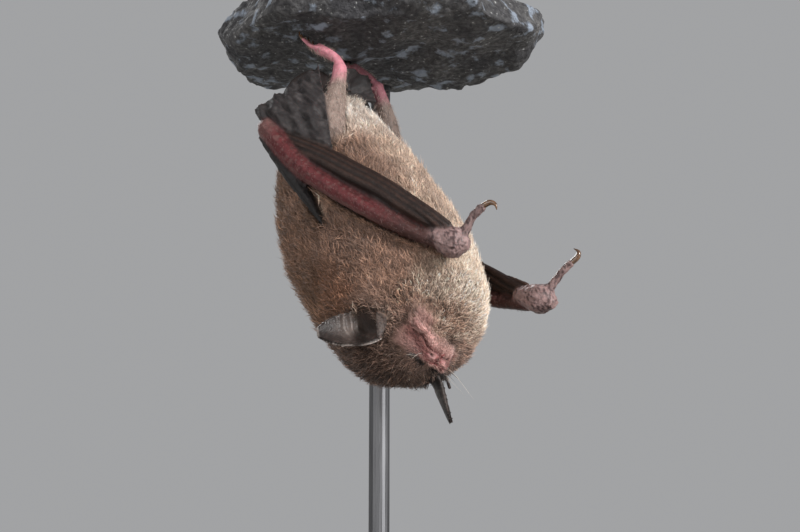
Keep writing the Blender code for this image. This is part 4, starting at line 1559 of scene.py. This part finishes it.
def whiskerRows(draw):
    # root, direction, length and darkness of each, in the head's own millimetres
    rows = []
    bristles = whiskers["bristles"]
    for side in (1, -1):
        mirror = (side, 1, 1)
        for root, way, length, dark in whiskers["hairs"]:
            share = 1.0 if side < 0 else whiskers["leftShare"]
            rows.append((np.array(root) * mirror, np.array(way) * mirror, length * share, dark))
        for _ in range(bristles["number"]):
            root = draw.uniform(bristles["low"], bristles["high"])
            way = np.array(bristles["way"]) + draw.normal(0, bristles["scatter"], 3)
            rows.append((root * mirror, way * mirror, draw.uniform(*bristles["length"]), 1))
    return rows


def makeWhiskers(skin, material):
    draw = np.random.default_rng(coat["seed"] + 2)
    tree = pointTree(toHead(skin["points"]))
    roots, ways, lengths, darks = zip(*whiskerRows(draw))
    nearest = [tree.find(Vector(root))[1] for root in roots]
    root, out = skin["points"][nearest], skin["normals"][nearest]
    way = unit(np.array(ways)) @ headAxes.T
    length, dark = np.array(lengths)[:, None], np.array(darks)[:, None]
    drop = -rockward * whiskers["drop"]
    chains = np.stack([
        root - out * 0.1,
        root + way * length * 0.33 + out * 0.1,
        root + way * length * 0.67 + drop * length * 0.4,
        root + way * length + drop * length,
    ], 1)
    tint = whiskers["pale"] * (1 - dark) + whiskers["dark"] * dark
    width = whiskers["width"] * (1 + 0.1 * dark[:, 0])
    parts = [spikes(chains, out, width, tint, (0.9, 1.0, 1.0, 1.0), unwrapOf(root, True))]
    addPiece("whiskers", hairMesh("whiskers", parts), material)


# Thumb claws, from the tip of the thumb to the claw's point, in the bat's millimetres.
clawForm = {
    "left": (
        (8.8, -21.2, 9.05), (8.8, -22.0, 8.85), (8.8, -22.9, 8.9), (8.8, -23.5, 9.5), (8.8, -23.45, 10.4),
    ),
    "right": (
        (-8.8, -27.0, 16.0), (-8.8, -27.8, 15.75), (-8.8, -28.6, 15.4), (-8.8, -28.95, 14.7),
        (-8.8, -28.4, 13.9),
    ),
    "radii": (0.4, 0.46, 0.42, 0.28, 0.05),
}


def makeClaws(material):
    for side, foot in feet.items():
        thumb = tubeMesh("claw_" + side, [clawForm[side]], clawForm["radii"], steps=14, around=14)
        addPiece("claw_" + side, thumb, material, ["thumb_claw_" + side])
        routes = [clawRoute(foot, fan) for fan in toeFans()]
        toes = tubeMesh("toe_claws_" + side, routes, toeForm["claw"], steps=8, around=8)
        addPiece("toe_claws_" + side, toes, material)


# Rock surface in millimetres: the grid, the size and height of each roughness, and the calm round the feet.
rockForm = {"voxel": 0.55, "rough": ((6.0, 0.5), (2.0, 0.28), (0.9, 0.12)), "calm": (0.4, 2.2)}


def makeRock(material):
    mesh = remeshed(nodeShape(["perch_rock"]), "rock", rockForm["voxel"])
    points = readPoints(mesh) / mm
    normals = readNormals(mesh)
    tree = nodeTree(["foot_left", "foot_right", "stand_rod"])[0]
    room = np.array([tree.find_nearest(Vector(p))[3] for p in toBat(points * mm)])
    move = np.zeros(len(points))
    for size, height in rockForm["rough"]:
        move += (noiseAt(points, size, size) - 0.3) * height
    points = Neighbours(mesh).relax(points, steps=2, amount=0.5)
    writePoints(mesh, (points + normals * (move * fade(room, *rockForm["calm"]))[:, None]) * mm)
    addPiece("rock", mesh, material, ["perch_rock"])


def makeStage():
    half = floorLook["half"]
    mesh = bpy.data.meshes.new("floor")
    corners = [(-half, -half, 0), (half, -half, 0), (half, half, 0), (-half, half, 0)]
    mesh.from_pydata(corners, [], [(0, 1, 2, 3)])
    plane = bpy.data.objects.new("floor", mesh)
    bpy.context.scene.collection.objects.link(plane)
    mesh.materials.append(floorMaterial())


# Studio light: place and size of each lamp in metres, and its power in watts.
lamps = {
    "key": {"at": (1.05, -0.9, 0.6), "size": 0.35, "power": 27.0},
    "fill": {"at": (-0.9, -1.2, 0.45), "size": 0.9, "power": 8.0},
    "back": {"at": (-0.5, 1.3, 0.9), "size": 0.9, "power": 16.0},
}

# Pale light from all round.
air = {"colour": (0.90, 0.91, 0.93, 1), "strength": 0.4}


def makeLights():
    aim = (trunkLow + trunkHigh) / 2
    for name, lamp in lamps.items():
        light = bpy.data.objects.new(name, bpy.data.lights.new(name, "AREA"))
        bpy.context.scene.collection.objects.link(light)
        light.data.shape = "DISK"
        light.data.size = lamp["size"]
        light.data.energy = lamp["power"]
        light.location = lamp["at"]
        light.rotation_euler = (aim - Vector(lamp["at"])).to_track_quat("-Z", "Y").to_euler()
    world = bpy.data.worlds.new("studio")
    bpy.context.scene.world = world
    world.use_nodes = True
    background = world.node_tree.nodes["Background"]
    background.inputs["Color"].default_value = air["colour"]
    background.inputs["Strength"].default_value = air["strength"]


bpy.context.scene.view_settings.view_transform = "Standard"
skin = makeSkin(skinMaterial())
prepareRoots(skin)
print("skin done")
hair = coatMaterial()
makeCoat(skin, hair)
makeFineHairs(skin, hair)
makeWhiskers(skin, hair)
makeClaws(hornMaterial())
makeRock(stoneMaterial())
for name, look in (("stand_rod", steelMaterial()), ("stand_base", paintMaterial())):
    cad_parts[name].material_slots[0].material = look
bpy.data.meshes.remove(skin["mesh"])
makeStage()
makeLights()
print("rock, stand and lights done")
